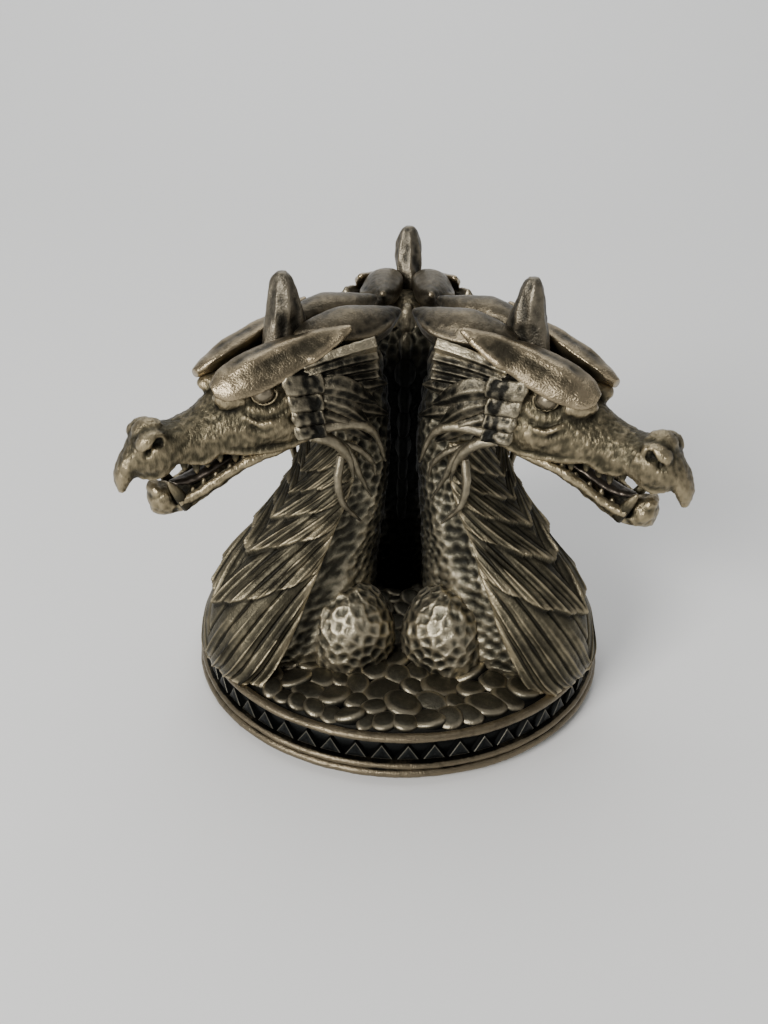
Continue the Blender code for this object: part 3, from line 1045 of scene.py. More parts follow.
def scatter(
    name: str,
    shape: bpy.types.Object,
    places: np.ndarray,
    turns: np.ndarray,
    scales: np.ndarray,
    finish: bpy.types.Material,
) -> bpy.types.Object:
    """Copies a small shape to many places.

    Args:
        name: The finished object's name.
        shape: The shape, a helper that is removed afterwards.
        places: Where the copies go, in millimetres.
        turns: Each copy's Euler angles.
        scales: Each copy's size along its own axes.
        finish: The copies' material.

    Returns:
        One plain object with all of them.
    """
    recipe = NodeRecipe(name + "_recipe")
    source = recipe.size("Shape", "NodeSocketObject")
    scale = recipe.size("Overall Scale")
    turn = recipe.node("GeometryNodeInputNamedAttribute", data_type="FLOAT_VECTOR", Name="turn")
    size = recipe.node("GeometryNodeInputNamedAttribute", data_type="FLOAT_VECTOR", Name="size")
    cloud = recipe.node("GeometryNodeMeshToPoints", Mesh=recipe.start.outputs[0])
    info = recipe.node("GeometryNodeObjectInfo", Object=source)
    grown = recipe.node("ShaderNodeVectorMath", operation="SCALE", Scale=scale)
    recipe.tree.links.new(size.outputs[0], grown.inputs[0])
    copies = recipe.node(
        "GeometryNodeInstanceOnPoints",
        Points=cloud.outputs[0],
        Instance=info.outputs["Geometry"],
        Rotation=turn.outputs[0],
        Scale=grown.outputs[0],
    )
    recipe.finish(copies.outputs[0])
    seeds = points_mesh(name + "_seeds", places, turn=turns, size=scales)
    made = recipe.bake(name, seeds, {"Shape": shape, "Overall Scale": 1.0, "Finish": finish})
    bpy.data.objects.remove(shape)
    return made


# ------------------------------------------------------------------------------
# The plinth and what it carries.


def turned(profile: Sequence[Row], around: int, ring: bool = False) -> Clay:
    """A shape turned about the stand's axis.

    Args:
        profile: Radius and height, up the outside of a disc or all round the section of a ring.
        around: How many points it has round the axis.
        ring: Whether the profile closes on itself.

    Returns:
        The shape.
    """
    angle = np.linspace(0, 2 * math.pi, around, endpoint=False)
    rings = np.array([[(r * math.cos(a), r * math.sin(a), z) for a in angle] for r, z in profile])
    if not ring:
        return Clay.from_rings(rings)
    index = np.arange(len(rings) * around).reshape(len(rings), around)
    return Clay(rings.reshape(-1, 3), webbed(index, np.roll(index, -1, axis=0))).outward()


def arc(centre: Row, radius: Row, start: float, stop: float, steps: int) -> list[tuple[float, float]]:
    """Points on an elliptical arc of a profile.

    Args:
        centre: Radius and height of its middle.
        radius: Its half sizes outwards and upwards.
        start: The angle it starts at, in degrees, 0 being outwards.
        stop: The angle it stops at.
        steps: How many points it has.

    Returns:
        The points.
    """
    angles = np.radians(np.linspace(start, stop, steps))
    return [(centre[0] + radius[0] * math.cos(a), centre[1] + radius[1] * math.sin(a)) for a in angles]


@dataclass
class Plinth:
    """The round plinth: beaded foot, triangle band, rim ring, pebbles and felt."""

    shop: Workshop
    around: int = 420
    unevenness: float = 0.11
    tarnish: float = 0.17
    groove: float = 0.28
    triangles: int = 54
    pebble_radii: Row = (2.2, 2.6, 2.7, 3.0, 3.0, 3.4, 4.2)
    pebbles_laid: int = 246
    pebble_spill: float = 1.1
    pebble_height: float = 1.75
    seed: int = 11

    def _box(self, node: str) -> tuple[float, float, float]:
        """A CAD node's outer radius, bottom and top, in millimetres."""
        low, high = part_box(node)
        return high.x / MM, low.z / MM, high.z / MM

    def foot(self) -> None:
        """The plinth itself: two beads round its foot, and the drum behind the band."""
        radius, bottom, top = self._box("base_plinth")
        crown = self._box("triangle_band")[1] - 0.3
        drum = self._box("triangle_band")[0] - 2.3
        middle = bottom + 0.56 * (crown - bottom)
        low_half, high_half = (middle - bottom) / 2, (crown - middle) / 2
        profile = [(radius - 3.0, bottom)]
        profile += arc((radius - low_half, bottom + low_half), (low_half, low_half), -90, 78, 12)
        profile += [(radius - self.groove - 0.75, middle)]
        profile += arc((radius - 0.45 - high_half, middle + high_half), (high_half, high_half), -78, 90, 12)
        profile += [(radius - 2.4, crown), (drum, crown), (drum, top)]
        clay = turned(profile, self.around).rough(5.0, self.unevenness, (1, 1, 0.5))
        clay.rough(0.9, 0.06)
        wear = clay.wear(1.1) - self.tarnish * clay.patches(2.6)
        self.shop.place("base_plinth", clay, self.shop.finishes.turned, wear=wear, name="plinth_casting")

    def rim(self) -> None:
        """The rounded ring that caps the band."""
        radius, bottom, top = self._box("rim_ring")
        half = (top - bottom) / 2
        profile = arc((radius - 0.85, bottom + half), (0.85, half), -88, 88, 12)
        profile += arc((radius - 1.35, bottom + half), (0.55, half), 92, 268, 10)
        clay = turned(profile, self.around, ring=True).rough(6.0, self.unevenness)
        clay.rough(0.8, 0.06)
        wear = clay.wear(1.1) - self.tarnish * clay.patches(2.6)
        self.shop.place("rim_ring", clay, self.shop.finishes.turned, wear=wear, name="rim_casting")

    def band(self) -> None:
        """The recessed band, and the row of triangles that stand out of it."""
        radius, bottom, top = self._box("triangle_band")
        back = radius - 1.15
        profile = [(back - 0.9, bottom), (back, bottom), (back, top), (back - 0.9, top)]
        ring = turned(profile, self.around // 2, ring=True)
        flat = np.full(len(ring.points), 0.3)
        finish = self.shop.finishes.band
        self.shop.place("triangle_band", ring, finish, "band_patina", flat, "band_casting")
        step = 2 * math.pi / self.triangles
        angles = np.arange(self.triangles) * step
        level, none = np.full(len(angles), bottom), 0 * angles
        places = np.stack([back * np.cos(angles), back * np.sin(angles), level], 1)
        turns = np.stack([none, none, angles], 1)
        shape = self._triangle(0.49 * step * back, top - bottom - 0.1, radius - back)
        made = scatter("band_triangles", shape, places, turns, np.ones((len(angles), 3)), finish)
        self.shop.adopt(made, finish, "band_patina")

    @staticmethod
    def _triangle(half: float, tall: float, relief: float, cuts: int = 6) -> bpy.types.Object:
        """One raised triangle: steep dark flanks, a bright worn edge and a ridged flat face.

        Args:
            half: Half its width.
            tall: Its height.
            relief: How far it stands out, along +X.
            cuts: How finely its sides are divided.

        Returns:
            The triangle as a helper object.
        """
        corners = np.array([(-half, 0.02), (half, 0.02), (0, tall)])
        middle = corners.mean(0)
        foot, flank, edge = (-0.1, 1.0, 0.1), (0.72, 0.88, 0.42), (0.82, 0.82, 0.78)
        levels = (foot, flank, edge, (0.84, 0.72, 0.5), (0.98, 0.2, 0.44))
        rings, worn = [], []
        for out, size, rub in levels:
            outline = middle + (corners - middle) * size
            sides = np.roll(outline, -1, axis=0) - outline
            ring = [outline[k] + sides[k] * t / cuts for k in range(3) for t in range(cuts)]
            rings.append([(relief * out, y, z) for y, z in ring])
            worn += [rub] * (3 * cuts)
        clay = Clay.from_rings(np.array(rings))
        obj = to_object("triangle_shape", clay, np.array(worn + [0.1, 0.5]))
        obj.data.shade_flat()
        return obj

    def pebbles(self) -> None:
        """The floor, and the flattened pebbles packed side by side on it."""
        radius, bottom, top = self._box("pebble_floor")
        radius += self.pebble_spill
        disc = turned([(radius, bottom), (radius, top - 0.1)], self.around // 2)
        flat = np.full(len(disc.points), 0.2)
        finish = self.shop.finishes.stone
        self.shop.place("pebble_floor", disc, finish, wear=flat, name="floor_casting")
        rng = np.random.default_rng(self.seed)
        spots, reach = self._packed(radius - 0.2, rng)
        places = np.column_stack([spots, top - 0.55 + rng.uniform(-0.25, 0.3, len(spots))])
        lean = rng.normal(0, 0.15, (len(spots), 2))
        turns = np.column_stack([lean, rng.uniform(0, 2 * math.pi, len(spots))])
        long = rng.uniform(1.05, 1.32, len(spots))
        tall = self.pebble_height * rng.uniform(0.85, 1.15, len(spots))
        scales = np.column_stack([reach * long, 1.12 * reach / long, tall])
        made = scatter("floor_pebbles", self._pebble(), places, turns, scales, finish)
        made.data.shade_smooth()
        self.shop.adopt(made, finish, BRONZE)

    def _packed(self, radius: float, rng: np.random.Generator) -> tuple[np.ndarray, np.ndarray]:
        """Discs of mixed sizes pushed apart until they only just touch.

        Args:
            radius: The radius of the floor they fill.
            rng: The source of their sizes and first places.

        Returns:
            Their middles and their radii.
        """
        reach = rng.choice(self.pebble_radii, self.pebbles_laid)
        reach = reach * rng.uniform(0.92, 1.1, self.pebbles_laid)
        out = radius * np.sqrt(rng.uniform(0.02, 1, len(reach)))
        turn = rng.uniform(0, 2 * math.pi, len(reach))
        spots = np.column_stack([out * np.cos(turn), out * np.sin(turn)])
        for _ in range(400):
            apart = spots[:, None] - spots[None]
            gap = np.linalg.norm(apart, axis=2) + np.eye(len(spots)) * 1e3
            overlap = np.clip(0.92 * (reach[:, None] + reach[None]) - gap, 0, None)
            spots += 0.3 * (apart / gap[..., None] * overlap[..., None]).sum(1)
            away = np.linalg.norm(spots, axis=1)
            spots *= np.minimum(1, (radius - reach) / np.maximum(away, 1e-6))[:, None]
        return spots, reach

    @staticmethod
    def _pebble() -> bpy.types.Object:
        """A pebble of unit half sizes: a flat-topped, round-edged cobble, bright along its shoulder."""
        clay = egg((0, 0, 0), (1, 1, 1), 15, 22)
        flat = np.hypot(clay.points[:, 0], clay.points[:, 1])
        high = clay.points[:, 2]
        clay.points[:, 2] = np.sign(high) * np.abs(high) ** 0.55
        clay.points[:, :2] *= (0.9 + 0.1 * np.abs(high))[:, None]
        rub = 0.05 + 0.43 * smoothstep(0.05, 0.6, clay.points[:, 2])
        rub += 0.34 * np.exp(-(((flat - 0.86) / 0.12) ** 2)) * (high > 0)
        return to_object("pebble_shape", clay, rub)

    def felt(self) -> None:
        """The felt disc under the plinth."""
        radius, bottom, top = self._box("felt_pad")
        edge = (top - bottom) / 2
        profile = [(radius - 0.4, bottom)] + arc((radius - 0.4, bottom + edge), (0.4, edge), -80, 80, 5)
        profile.append((radius - 0.4, top))
        clay = turned(profile, 180)
        turn = np.arctan2(clay.points[:, 1], clay.points[:, 0])
        clay.points[:, :2] *= (1 + 0.002 * np.sin(17 * turn))[:, None]
        disc = self.shop.place("felt_pad", clay, self.shop.finishes.felt, "felt", name="felt_disc")

    def build(self) -> None:
        """Makes every piece of the plinth."""
        self.foot()
        self.rim()
        self.band()
        self.pebbles()
        self.felt()


# ------------------------------------------------------------------------------
# The bust: body.


@dataclass
class Body:
    """The neck, feather mantle, haunches and dorsal ridge of a bust facing +X."""

    shop: Workshop
    lift: float
    # Level sections of the neck: height, back x, front x, half width, widening towards the front.
    neck_rows: tuple[Row, ...] = (
        (9.9, 5.8, 39.0, 9.6, 0.16),
        (14.0, 6.2, 41.2, 10.2, 0.16),
        (22.0, 6.8, 39.6, 9.9, 0.14),
        (30.0, 6.8, 35.0, 9.2, 0.12),
        (38.0, 6.2, 28.0, 8.6, 0.08),
        (46.0, 5.2, 21.8, 8.3, 0.04),
        (54.0, 4.9, 19.2, 8.3, 0.0),
        (62.0, 5.6, 20.6, 7.9, 0.0),
        (70.0, 7.4, 22.0, 6.6, 0.0),
        (75.0, 10.0, 20.0, 4.0, 0.0),
    )
    # Level sections of the mantle: height, rear edge x, front x, half width at the rear edge.
    mantle_rows: tuple[Row, ...] = (
        (10.2, 37.0, 44.6, 11.6),
        (14.0, 34.3, 45.2, 12.2),
        (22.0, 29.8, 43.5, 12.1),
        (30.0, 26.0, 39.0, 11.4),
        (38.0, 21.6, 31.5, 10.1),
        (46.0, 17.4, 25.0, 9.4),
        (52.0, 15.4, 21.8, 8.9),
        (58.0, 14.8, 20.2, 8.4),
    )
    neck_levels: int = 215
    neck_around: int = 210
    # The muscle down each side of the neck.
    muscle: Fold = (
        ((9.5, 8.4, 58), (11.5, 8.8, 46), (15.5, 9.4, 34), (21.5, 10.6, 22), (27, 11.3, 12)),
        2.2,
        0.75,
    )
    scale_gap: float = 1.7
    mantle_levels: int = 230
    mantle_around: int = 290
    mantle_back: int = 14
    mantle_hollow: float = 2.4
    # Height of each tier's lower edge at the mantle's rear border, and the width of its feathers.
    tiers: tuple[Row, ...] = ((55.0, 2.0), (51.3, 2.5), (47.0, 3.1), (41.8, 3.7), (33.2, 4.1), (2.0, 4.3))
    tier_fall: float = 0.42
    tip_length: float = 0.5
    slant_low: float = 0.12
    slant_high: float = 0.95
    haunch_centre: Row = (16.8, 9.8, 14.2)
    haunch_size: Row = (9.3, 8.6, 12.2)
    haunch_scale_gap: float = 2.05
    ridge_plates: int = 9
    ridge_from: float = 30.0
    ridge_to: float = 77.0
    seed: int = 5

    def _neck_ring(self, row: Row, around: int) -> np.ndarray:
        """One level section of the neck.

        Args:
            row: A row of neck_rows.
            around: How many points it has.

        Returns:
            Its points.
        """
        height, back, front, width, flare = row
        c, s = superellipse(np.linspace(0, 2 * math.pi, around, endpoint=False), 2.4)
        x = (back + front) / 2 + (front - back) / 2 * c
        return np.stack([x, width * s * (1 + flare * c), np.full(around, height + self.lift)], 1)

    def neck(self) -> None:
        """The neck and chest: hammered scales over long muscles."""
        rows = blended(self.neck_rows, self.neck_levels)
        clay = Clay.from_rings(np.array([self._neck_ring(row, self.neck_around) for row in rows]))
        clay.rough(11.0, 1.1, (1, 1, 2.2)).rough(4.5, 0.35)
        clay.ridge(*self.muscle)
        seeds = spread(clay.points, self.scale_gap, np.random.default_rng(self.seed))
        patches = clay.patches(9.0)
        clay.hammered(seeds, 0.46, 0.26, 0.36, 0.65 + 0.35 * patches).smooth(1, 0.4)
        clay.dab((15.5, 10.0, 25.0), 7.0, 1.0)
        clay.rough(1.5, 0.14, (0.8, 0.8, 3.0), 1 - patches)
        clay.rough(0.8, 0.06)
        self.shop.on_busts("neck", clay, self.shop.finishes.scaled, polish=-0.07, contrast=0.8)

    def mantle(self) -> None:
        """The mantle: tiers of long fluted feathers that slant down to the chest."""
        rows = blended(self.mantle_rows, self.mantle_levels)
        front_points, back_points = self.mantle_around, self.mantle_back
        angles = np.linspace(-math.pi / 2, math.pi / 2, front_points)
        rings, across, height = [], [], []
        for z, rear, front, width in rows:
            x = rear + (front - rear) * np.cos(angles).clip(0) ** 0.8
            y = width * np.sin(angles)
            ring = np.stack([x, y, np.full(front_points, z + self.lift)], 1)
            reach = np.concatenate([[0], np.cumsum(np.linalg.norm(np.diff(ring, axis=0), axis=1))])
            reach = np.minimum(reach, reach[-1] - reach)
            across.append(np.concatenate([reach, np.full(back_points, -1.0)]))
            height.append(np.full(front_points + back_points, z))
            inner = np.linspace(width, -width, back_points + 2)[1:-1]
            bow = -self.mantle_hollow * (1 - (inner / width) ** 2)
            back = np.stack([rear - 0.2 + bow, inner, np.full(back_points, z + self.lift)], 1)
            rings.append(np.concatenate([ring, back]))
        clay = Clay.from_rings(np.array(rings))
        a = np.concatenate([np.concatenate(across), [-1, -1]])
        z = np.concatenate([np.concatenate(height), [0, 0]])
        side = np.sign(clay.points[:, 1]) + 1
        clay.push(np.where(a >= 0, self._feathers(a, z, side), 0))
        clay.smooth(1, 0.5).rough(5.0, 0.3).rough(1.4, 0.05)
        self.shop.on_busts("mantle", clay, self.shop.finishes.feather, polish=-0.05, contrast=0.62)

    def _feathers(self, a: np.ndarray, z: np.ndarray, side: np.ndarray) -> np.ndarray:
        """The relief of the feathers: tiers of broad blades with a raised quill along each.

        Args:
            a: How far round the mantle each point is from its rear edge.
            z: Each point's height on the unlifted bust.
            side: A number that differs between the two sides, so that they aren't twins.

        Returns:
            How far each point stands out.
        """
        heights = np.linspace(0, 62, 300)
        slant = self.slant_low + (self.slant_high - self.slant_low) * smoothstep(12, 42, heights)
        shift = np.cumsum(slant[::-1])[::-1] * (heights[1] - heights[0])
        along = a - np.interp(z, heights, shift) + 200
        relief = np.zeros(len(a))
        free = np.ones(len(a), bool)
        level = z + self.tier_fall * a
        top = level.max()
        for tier, (edge, width) in enumerate(self.tiers):
            f = along / width + 0.37 * tier
            number = np.floor(f)
            u = f - number
            luck = np.sin(number * 12.9898 + tier * 78.233 + side * 3.7) * 43758.5453
            luck -= np.floor(luck)
            tip = level + self.tip_length * (1 - np.abs(2 * u - 1) ** 1.5) + 0.4 * (luck - 0.5)
            here = free & (tip > edge)
            free &= ~here
            v = np.clip((top - tip) / (top - edge), 0, 1)
            rounded = 0.24 * (1 - (2 * u - 1) ** 2)
            quill = (0.3 + 0.45 * luck) * np.exp(-(((u - 0.44) / 0.07) ** 2))
            quill *= smoothstep(0, 0.4, v)
            trough = -0.34 * np.exp(-(((np.abs(2 * u - 1) - 1) / 0.15) ** 2))
            barbs = 0.005 * np.cos(2 * math.pi * (4 * u + 0.5 * v * (top - edge)))
            step = 0.85 * v**2.4 + 0.3 * (luck - 0.5) * v
            relief[here] = (step + rounded + quill + trough + barbs)[here]
            top = edge
        flatter = 1 - 0.45 * smoothstep(36, 48, z)
        return relief * flatter * (0.3 + 0.7 * smoothstep(0, 1.0, a)) - 0.25

    def haunches(self) -> None:
        """The two round scaly haunches at the foot of the neck."""
        rng = np.random.default_rng(self.seed + 1)
        x, y, z = self.haunch_centre
        centre = (x, y, z + self.lift)
        base = egg(centre, self.haunch_size, 130, 180)
        seeds = spread(base.points, self.haunch_scale_gap, rng)
        patches = base.patches(9.0)
        base.hammered(seeds, 0.5, 0.26, 0.4, 0.5 + 0.5 * patches).smooth(2, 0.5)
        base.rough(8.0, 0.6)
        base.rough(1.5, 0.3, (0.8, 0.8, 3.0), 1 - patches)
        base.rough(0.9, 0.07)
        base.points[:, 2] = np.maximum(base.points[:, 2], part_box("pebble_floor")[1].z / MM)
        self.shop.on_both_sides("haunch", base, self.shop.finishes.scaled, polish=0.04, contrast=0.85)

    def ridge(self) -> None:
        """The plates down the nape, each a rounded shield that overlaps the next."""
        plates = []
        pitch = (self.ridge_to - self.ridge_from) / self.ridge_plates
        rows = blended(self.neck_rows, 200)
        for k in range(self.ridge_plates):
            height = self.ridge_from + (k + 0.5) * pitch
            back = float(np.interp(height, rows[:, 0], rows[:, 1]))
            grown = 0.55 + 0.5 * k / self.ridge_plates
            size = (1.7 * grown, (2.1 + 0.35 * math.sin(2.4 * k)) * grown, 0.6 * pitch)
            plate = egg((back - 0.2, 0, height + self.lift), size, 26, 34)
            local = plate.points - np.array((back - 0.2, 0, height + self.lift))
            plate.points[:, 0] -= 0.55 * (local[:, 2] < 0) * np.abs(local[:, 2] / size[2]) ** 1.5
            plate.push(0.25 * np.exp(-((local[:, 1] / 0.4) ** 2)) - 0.1 * np.cos(local[:, 1] * 4.5))
            plates.append(plate.rough(1.4, 0.15))
        clay = Clay.joined(plates)
        # The negative polish darkens the nape plates as painted shade: they face the shaded middle between
        # the busts.
        self.shop.on_busts("dorsal_ridge", clay, self.shop.finishes.fin, polish=-0.2)

    def build(self) -> None:
        """Makes every piece of the body."""
        self.neck()
        self.mantle()
        self.haunches()
        self.ridge()


# ------------------------------------------------------------------------------
# The bust: head.


@dataclass
class Head:
    """The skull, jaw, tongue, horn, brows, crests, eyes and frills of a bust facing +X."""

    shop: Workshop
    lift: float
    voxel: float = 0.3
    # x, bottom z, z where it is widest, top z, half width, squareness above and below.
    skull_rows: tuple[Row, ...] = (
        (9.5, 67.0, 70.5, 74.0, 3.6, 2.0, 2.0),
        (13.0, 62.0, 69.5, 76.4, 6.8, 2.0, 2.2),
        (18.0, 60.8, 68.5, 77.4, 8.4, 2.1, 2.3),
        (24.0, 60.4, 66.5, 77.0, 9.1, 2.1, 2.6),
        (29.0, 59.4, 65.2, 75.8, 9.2, 2.0, 3.4),
        (34.0, 58.8, 64.4, 73.4, 8.4, 1.9, 4.0),
        (38.0, 59.2, 63.4, 70.6, 7.1, 1.8, 4.4),
        (42.0, 58.2, 62.0, 67.7, 5.8, 1.8, 4.6),
        (45.5, 57.9, 61.4, 65.9, 5.0, 1.9, 4.6),
        (48.5, 57.8, 61.2, 65.0, 4.8, 2.0, 4.4),
        (51.5, 56.2, 61.0, 65.9, 4.8, 2.0, 3.6),
        (54.0, 56.0, 60.6, 65.3, 4.2, 2.0, 2.8),
        (56.0, 56.3, 60.0, 62.6, 3.2, 2.0, 2.2),
        (57.6, 57.0, 58.8, 60.2, 1.7, 2.0, 2.0),
    )
    # Middle and half sizes of each swelling fused into the skull, on both sides where y isn't 0.
    skull_lumps: tuple[tuple[Row, Row], ...] = (
        ((52.2, 0, 64.0), (3.1, 2.9, 2.6)),
        ((52.3, 2.9, 62.9), (3.0, 2.1, 2.5)),
        ((29.5, 6.8, 63.6), (6.4, 2.9, 3.8)),
        ((37.0, 4.2, 69.2), (4.4, 2.6, 2.4)),
        ((22.0, 7.2, 70.5), (5.0, 2.6, 6.0)),
    )
    # The folds under the eye, the crease before it, the nostril's wing and slit, and the snout's hollow.
    skull_folds: tuple[Fold, ...] = (
        (((37.2, 7.0, 69.4), (34.6, 8.6, 67.9), (31.6, 9.3, 67.9), (29.0, 9.3, 69.4)), 0.55, 0.75),
        (((37.6, 6.6, 67.9), (34.6, 8.3, 66.3), (31.4, 9.2, 66.4), (28.6, 9.4, 67.8)), 0.5, -0.5),
        (((36.4, 7.2, 66.2), (34.2, 8.4, 65.0), (31.8, 9.0, 65.3)), 0.5, 0.45),
        (((36.2, 7.4, 64.9), (34.0, 8.5, 63.8), (31.6, 9.0, 64.2)), 0.45, -0.35),
        (((42.5, 3.2, 67.6), (40.4, 4.6, 68.6), (38.6, 5.6, 70.2)), 0.8, -0.5),
        (((55.2, 3.5, 62.2), (53.6, 4.4, 64.0), (51.4, 4.8, 65.2), (49.8, 4.9, 64.4)), 1.0, 0.4),
        (((54.4, 4.4, 61.2), (52.9, 4.9, 62.4), (51.4, 5.1, 63.5)), 0.55, -1.6),
        (((49.0, 4.8, 61.2), (46.5, 5.2, 62.8), (43.6, 5.6, 64.2)), 0.9, -0.25),
    )
    nostril: Row = (51.6, 5.0, 63.4)
    beak_rows: tuple[Row, ...] = (
        (53.0, 0, 61.4, 3.2, 2.2, 2.8),
        (55.8, 0, 59.4, 3.0, 2.1, 2.6),
        (57.4, 0, 57.0, 2.4, 1.7, 2.0),
        (58.0, 0, 55.0, 1.7, 1.2, 1.4),
        (58.2, 0, 53.2, 0.9, 0.6, 0.7),
    )
    lip_line: tuple[Row, ...] = (
        (55.2, 2.6, 56.3),
        (52.8, 4.0, 55.9),
        (50.4, 4.5, 57.0),
        (48.3, 4.6, 58.5),
        (45.8, 4.9, 57.8),
        (43.4, 5.4, 57.9),
        (40.8, 6.1, 59.5),
        (37.5, 7.0, 59.0),
        (33.5, 8.0, 58.8),
        (28.5, 8.7, 59.3),
        (24.5, 8.9, 60.4),
    )
    jaw_rows: tuple[Row, ...] = (
        (23.5, 59.0, 60.5, 62.0, 7.2, 2.2, 2.2),
        (29.0, 57.2, 58.5, 59.6, 7.3, 2.4, 2.2),
        (34.5, 55.8, 57.0, 58.0, 6.7, 2.4, 2.2),
        (39.5, 53.0, 54.6, 55.6, 5.8, 2.4, 2.2),
        (44.3, 49.4, 51.6, 52.6, 4.7, 2.4, 2.0),
        (48.0, 47.6, 49.8, 51.0, 3.9, 2.2, 2.0),
        (51.2, 47.4, 49.6, 51.6, 3.0, 2.0, 2.0),
        (53.4, 48.0, 49.6, 51.2, 1.6, 2.0, 2.0),
    )
    jaw_voxel: float = 0.26
    jaw_lumps: tuple[tuple[Row, Row], ...] = (
        ((51.2, 0, 50.6), (2.6, 3.3, 2.9)),
        ((52.2, 0, 52.4), (1.4, 2.6, 1.6)),
    )
    jaw_folds: tuple[Fold, ...] = (
        (((48.9, 2.5, 52.5), (49.3, 3.2, 50.0), (49.6, 2.8, 47.8)), 0.5, -0.55),
        (((46.0, 4.6, 50.3), (40.5, 5.9, 53.2), (34.0, 7.0, 56.3)), 0.5, -0.3),
    )
    jaw_lip: tuple[Row, ...] = (
        (24.0, 7.6, 61.0),
        (30.0, 7.4, 59.0),
        (36.0, 6.6, 57.3),
        (41.0, 5.5, 54.7),
        (45.5, 4.4, 51.8),
        (49.0, 3.6, 50.6),
    )
    teeth_a_row: int = 6
    canine: Row = (48.0, 3.5, 50.6)
    tongue_rows: tuple[Row, ...] = (
        (36.0, 0, 57.3, 2.4, 0.8, 0.9),
        (40.0, 0, 55.7, 2.6, 0.9, 0.9),
        (44.5, 0, 53.5, 2.1, 0.8, 0.8),
        (48.0, 0, 53.0, 1.3, 0.6, 0.6),
        (49.3, 0, 53.3, 0.4, 0.3, 0.3),
    )
    tongue_groove: Fold = (((36, 0, 58.1), (41, 0, 56.2), (47, 0, 53.9)), 0.4, -0.3)
    horn_facets: int = 7
    horn_rows: tuple[Row, ...] = (
        (25.2, 0, 75.5, 2.3, 4.6, 4.6),
        (25.2, 0, 79.0, 2.5, 4.2, 4.2),
        (25.3, 0, 82.6, 2.9, 3.3, 3.3),
        (25.5, 0, 86.0, 2.4, 2.5, 2.5),
        (25.6, 0, 88.3, 1.6, 1.7, 1.7),
        (25.6, 0, 89.2, 0.8, 0.8, 0.8),
    )
    brow_rows: tuple[Row, ...] = (
        (17.0, 9.8, 80.8, 0.5, 0.4, 0.4),
        (20.0, 9.1, 79.6, 1.8, 1.0, 0.9),
        (24.0, 8.0, 77.9, 3.0, 1.5, 1.1),
        (28.5, 6.8, 76.1, 4.0, 1.9, 1.3),
        (33.0, 5.9, 74.3, 4.5, 2.2, 1.5),
        (36.6, 5.4, 73.0, 4.3, 2.1, 1.5),
        (39.4, 5.0, 71.9, 3.4, 1.7, 1.2),
        (41.3, 4.7, 71.3, 1.5, 0.9, 0.7),
    )
    # The keel along a brow, and the lip at its rear.
    brow_folds: tuple[Fold, ...] = (
        (((21, 8, 80), (27, 7, 78.6), (33, 6.4, 76.8), (39, 5.4, 73.4)), 1.2, 0.6),
        (((18.6, 10.4, 80), (22, 10.6, 77.8), (26, 10.4, 75.6)), 0.8, 0.45),
    )
    crest_fold: Fold = (((6, 7.4, 80.4), (12, 9.4, 78.8), (18, 8.6, 78.3), (23, 6.4, 78.3)), 0.6, 0.45)
    crest_rows: tuple[Row, ...] = (
        (4.2, 4.8, 80.9, 0.5, 0.4, 0.5),
        (5.8, 4.9, 80.5, 1.8, 1.3, 1.6),
        (9.0, 5.2, 79.8, 3.5, 2.6, 3.1),
        (13.5, 5.3, 79.4, 4.2, 3.3, 3.8),
        (18.0, 4.8, 79.2, 4.0, 3.1, 3.6),
        (22.0, 4.0, 78.7, 2.8, 2.1, 2.6),
        (24.8, 3.4, 78.2, 1.0, 0.7, 1.0),
    )
    eye: Row = (33.3, 7.9, 70.8)
    eye_radius: float = 2.0
    # Root, middle, tip and half width of each ray of the ear fin, and of each leaf behind the cheek.
    fin_rays: tuple[tuple[Row, Row, Row, float], ...] = (
        ((26.2, 9.6, 75.0), (19.5, 11.4, 77.0), (13.4, 12.6, 78.2), 1.35),
        ((26.0, 9.6, 73.4), (19.5, 11.2, 75.0), (13.0, 12.3, 75.8), 1.2),
        ((25.8, 9.6, 72.2), (19.0, 10.8, 73.2), (12.6, 11.6, 73.6), 1.1),
        ((25.4, 9.4, 71.0), (18.6, 10.4, 71.6), (12.2, 11.0, 71.6), 1.0),
    )
    leaves: tuple[tuple[Row, Row, Row, float], ...] = (
        ((25.0, 9.6, 71.4), (19.6, 11.6, 70.6), (12.6, 11.6, 66.4), 2.2),
        ((24.6, 9.6, 68.8), (19.6, 11.6, 67.4), (14.2, 11.4, 62.6), 1.9),
        ((24.2, 9.4, 66.0), (18.6, 10.8, 63.4), (13.0, 10.6, 58.6), 1.8),
        ((23.6, 9.2, 69.6), (16.0, 10.4, 69.8), (9.6, 10.2, 69.2), 1.9),
        ((22.6, 9.0, 66.0), (15.4, 9.8, 65.0), (9.0, 9.6, 62.6), 1.8),
    )
    blade_thickness: float = 0.8
    # Height, half width and half height of each cheek plate.
    scutes: tuple[Row, ...] = ((72.2, 3.8, 2.3), (68.6, 3.3, 1.9), (65.6, 3.1, 1.7), (62.8, 3.0, 1.6))
    # Each tendril's line, and its radius at the root.
    tendrils: tuple[tuple[tuple[Row, ...], float], ...] = (
        (((25.0, 9.6, 61.6), (21.0, 10.8, 59.8), (18.0, 11.0, 56.0), (17.0, 10.9, 51.6)), 1.2),
        (((19.0, 9.8, 56.2), (20.2, 10.8, 52.0), (19.4, 11.2, 46.8), (15.6, 11.2, 42.0)), 0.9),
        (((21.6, 9.9, 60.8), (18.0, 10.8, 57.4), (15.6, 10.8, 51.8), (12.8, 10.4, 46.4)), 0.85),
        (((23.4, 9.8, 62.8), (17.0, 11.2, 62.8), (12.6, 11.1, 60.0), (9.8, 10.4, 53.4)), 1.1),
        (((20.4, 9.8, 59.6), (15.6, 10.4, 57.0), (12.6, 10.2, 53.6), (11.6, 9.8, 50.6)), 0.75),
    )
    brow_tilt: float = 30.0
    crest_tilt: float = 21.0

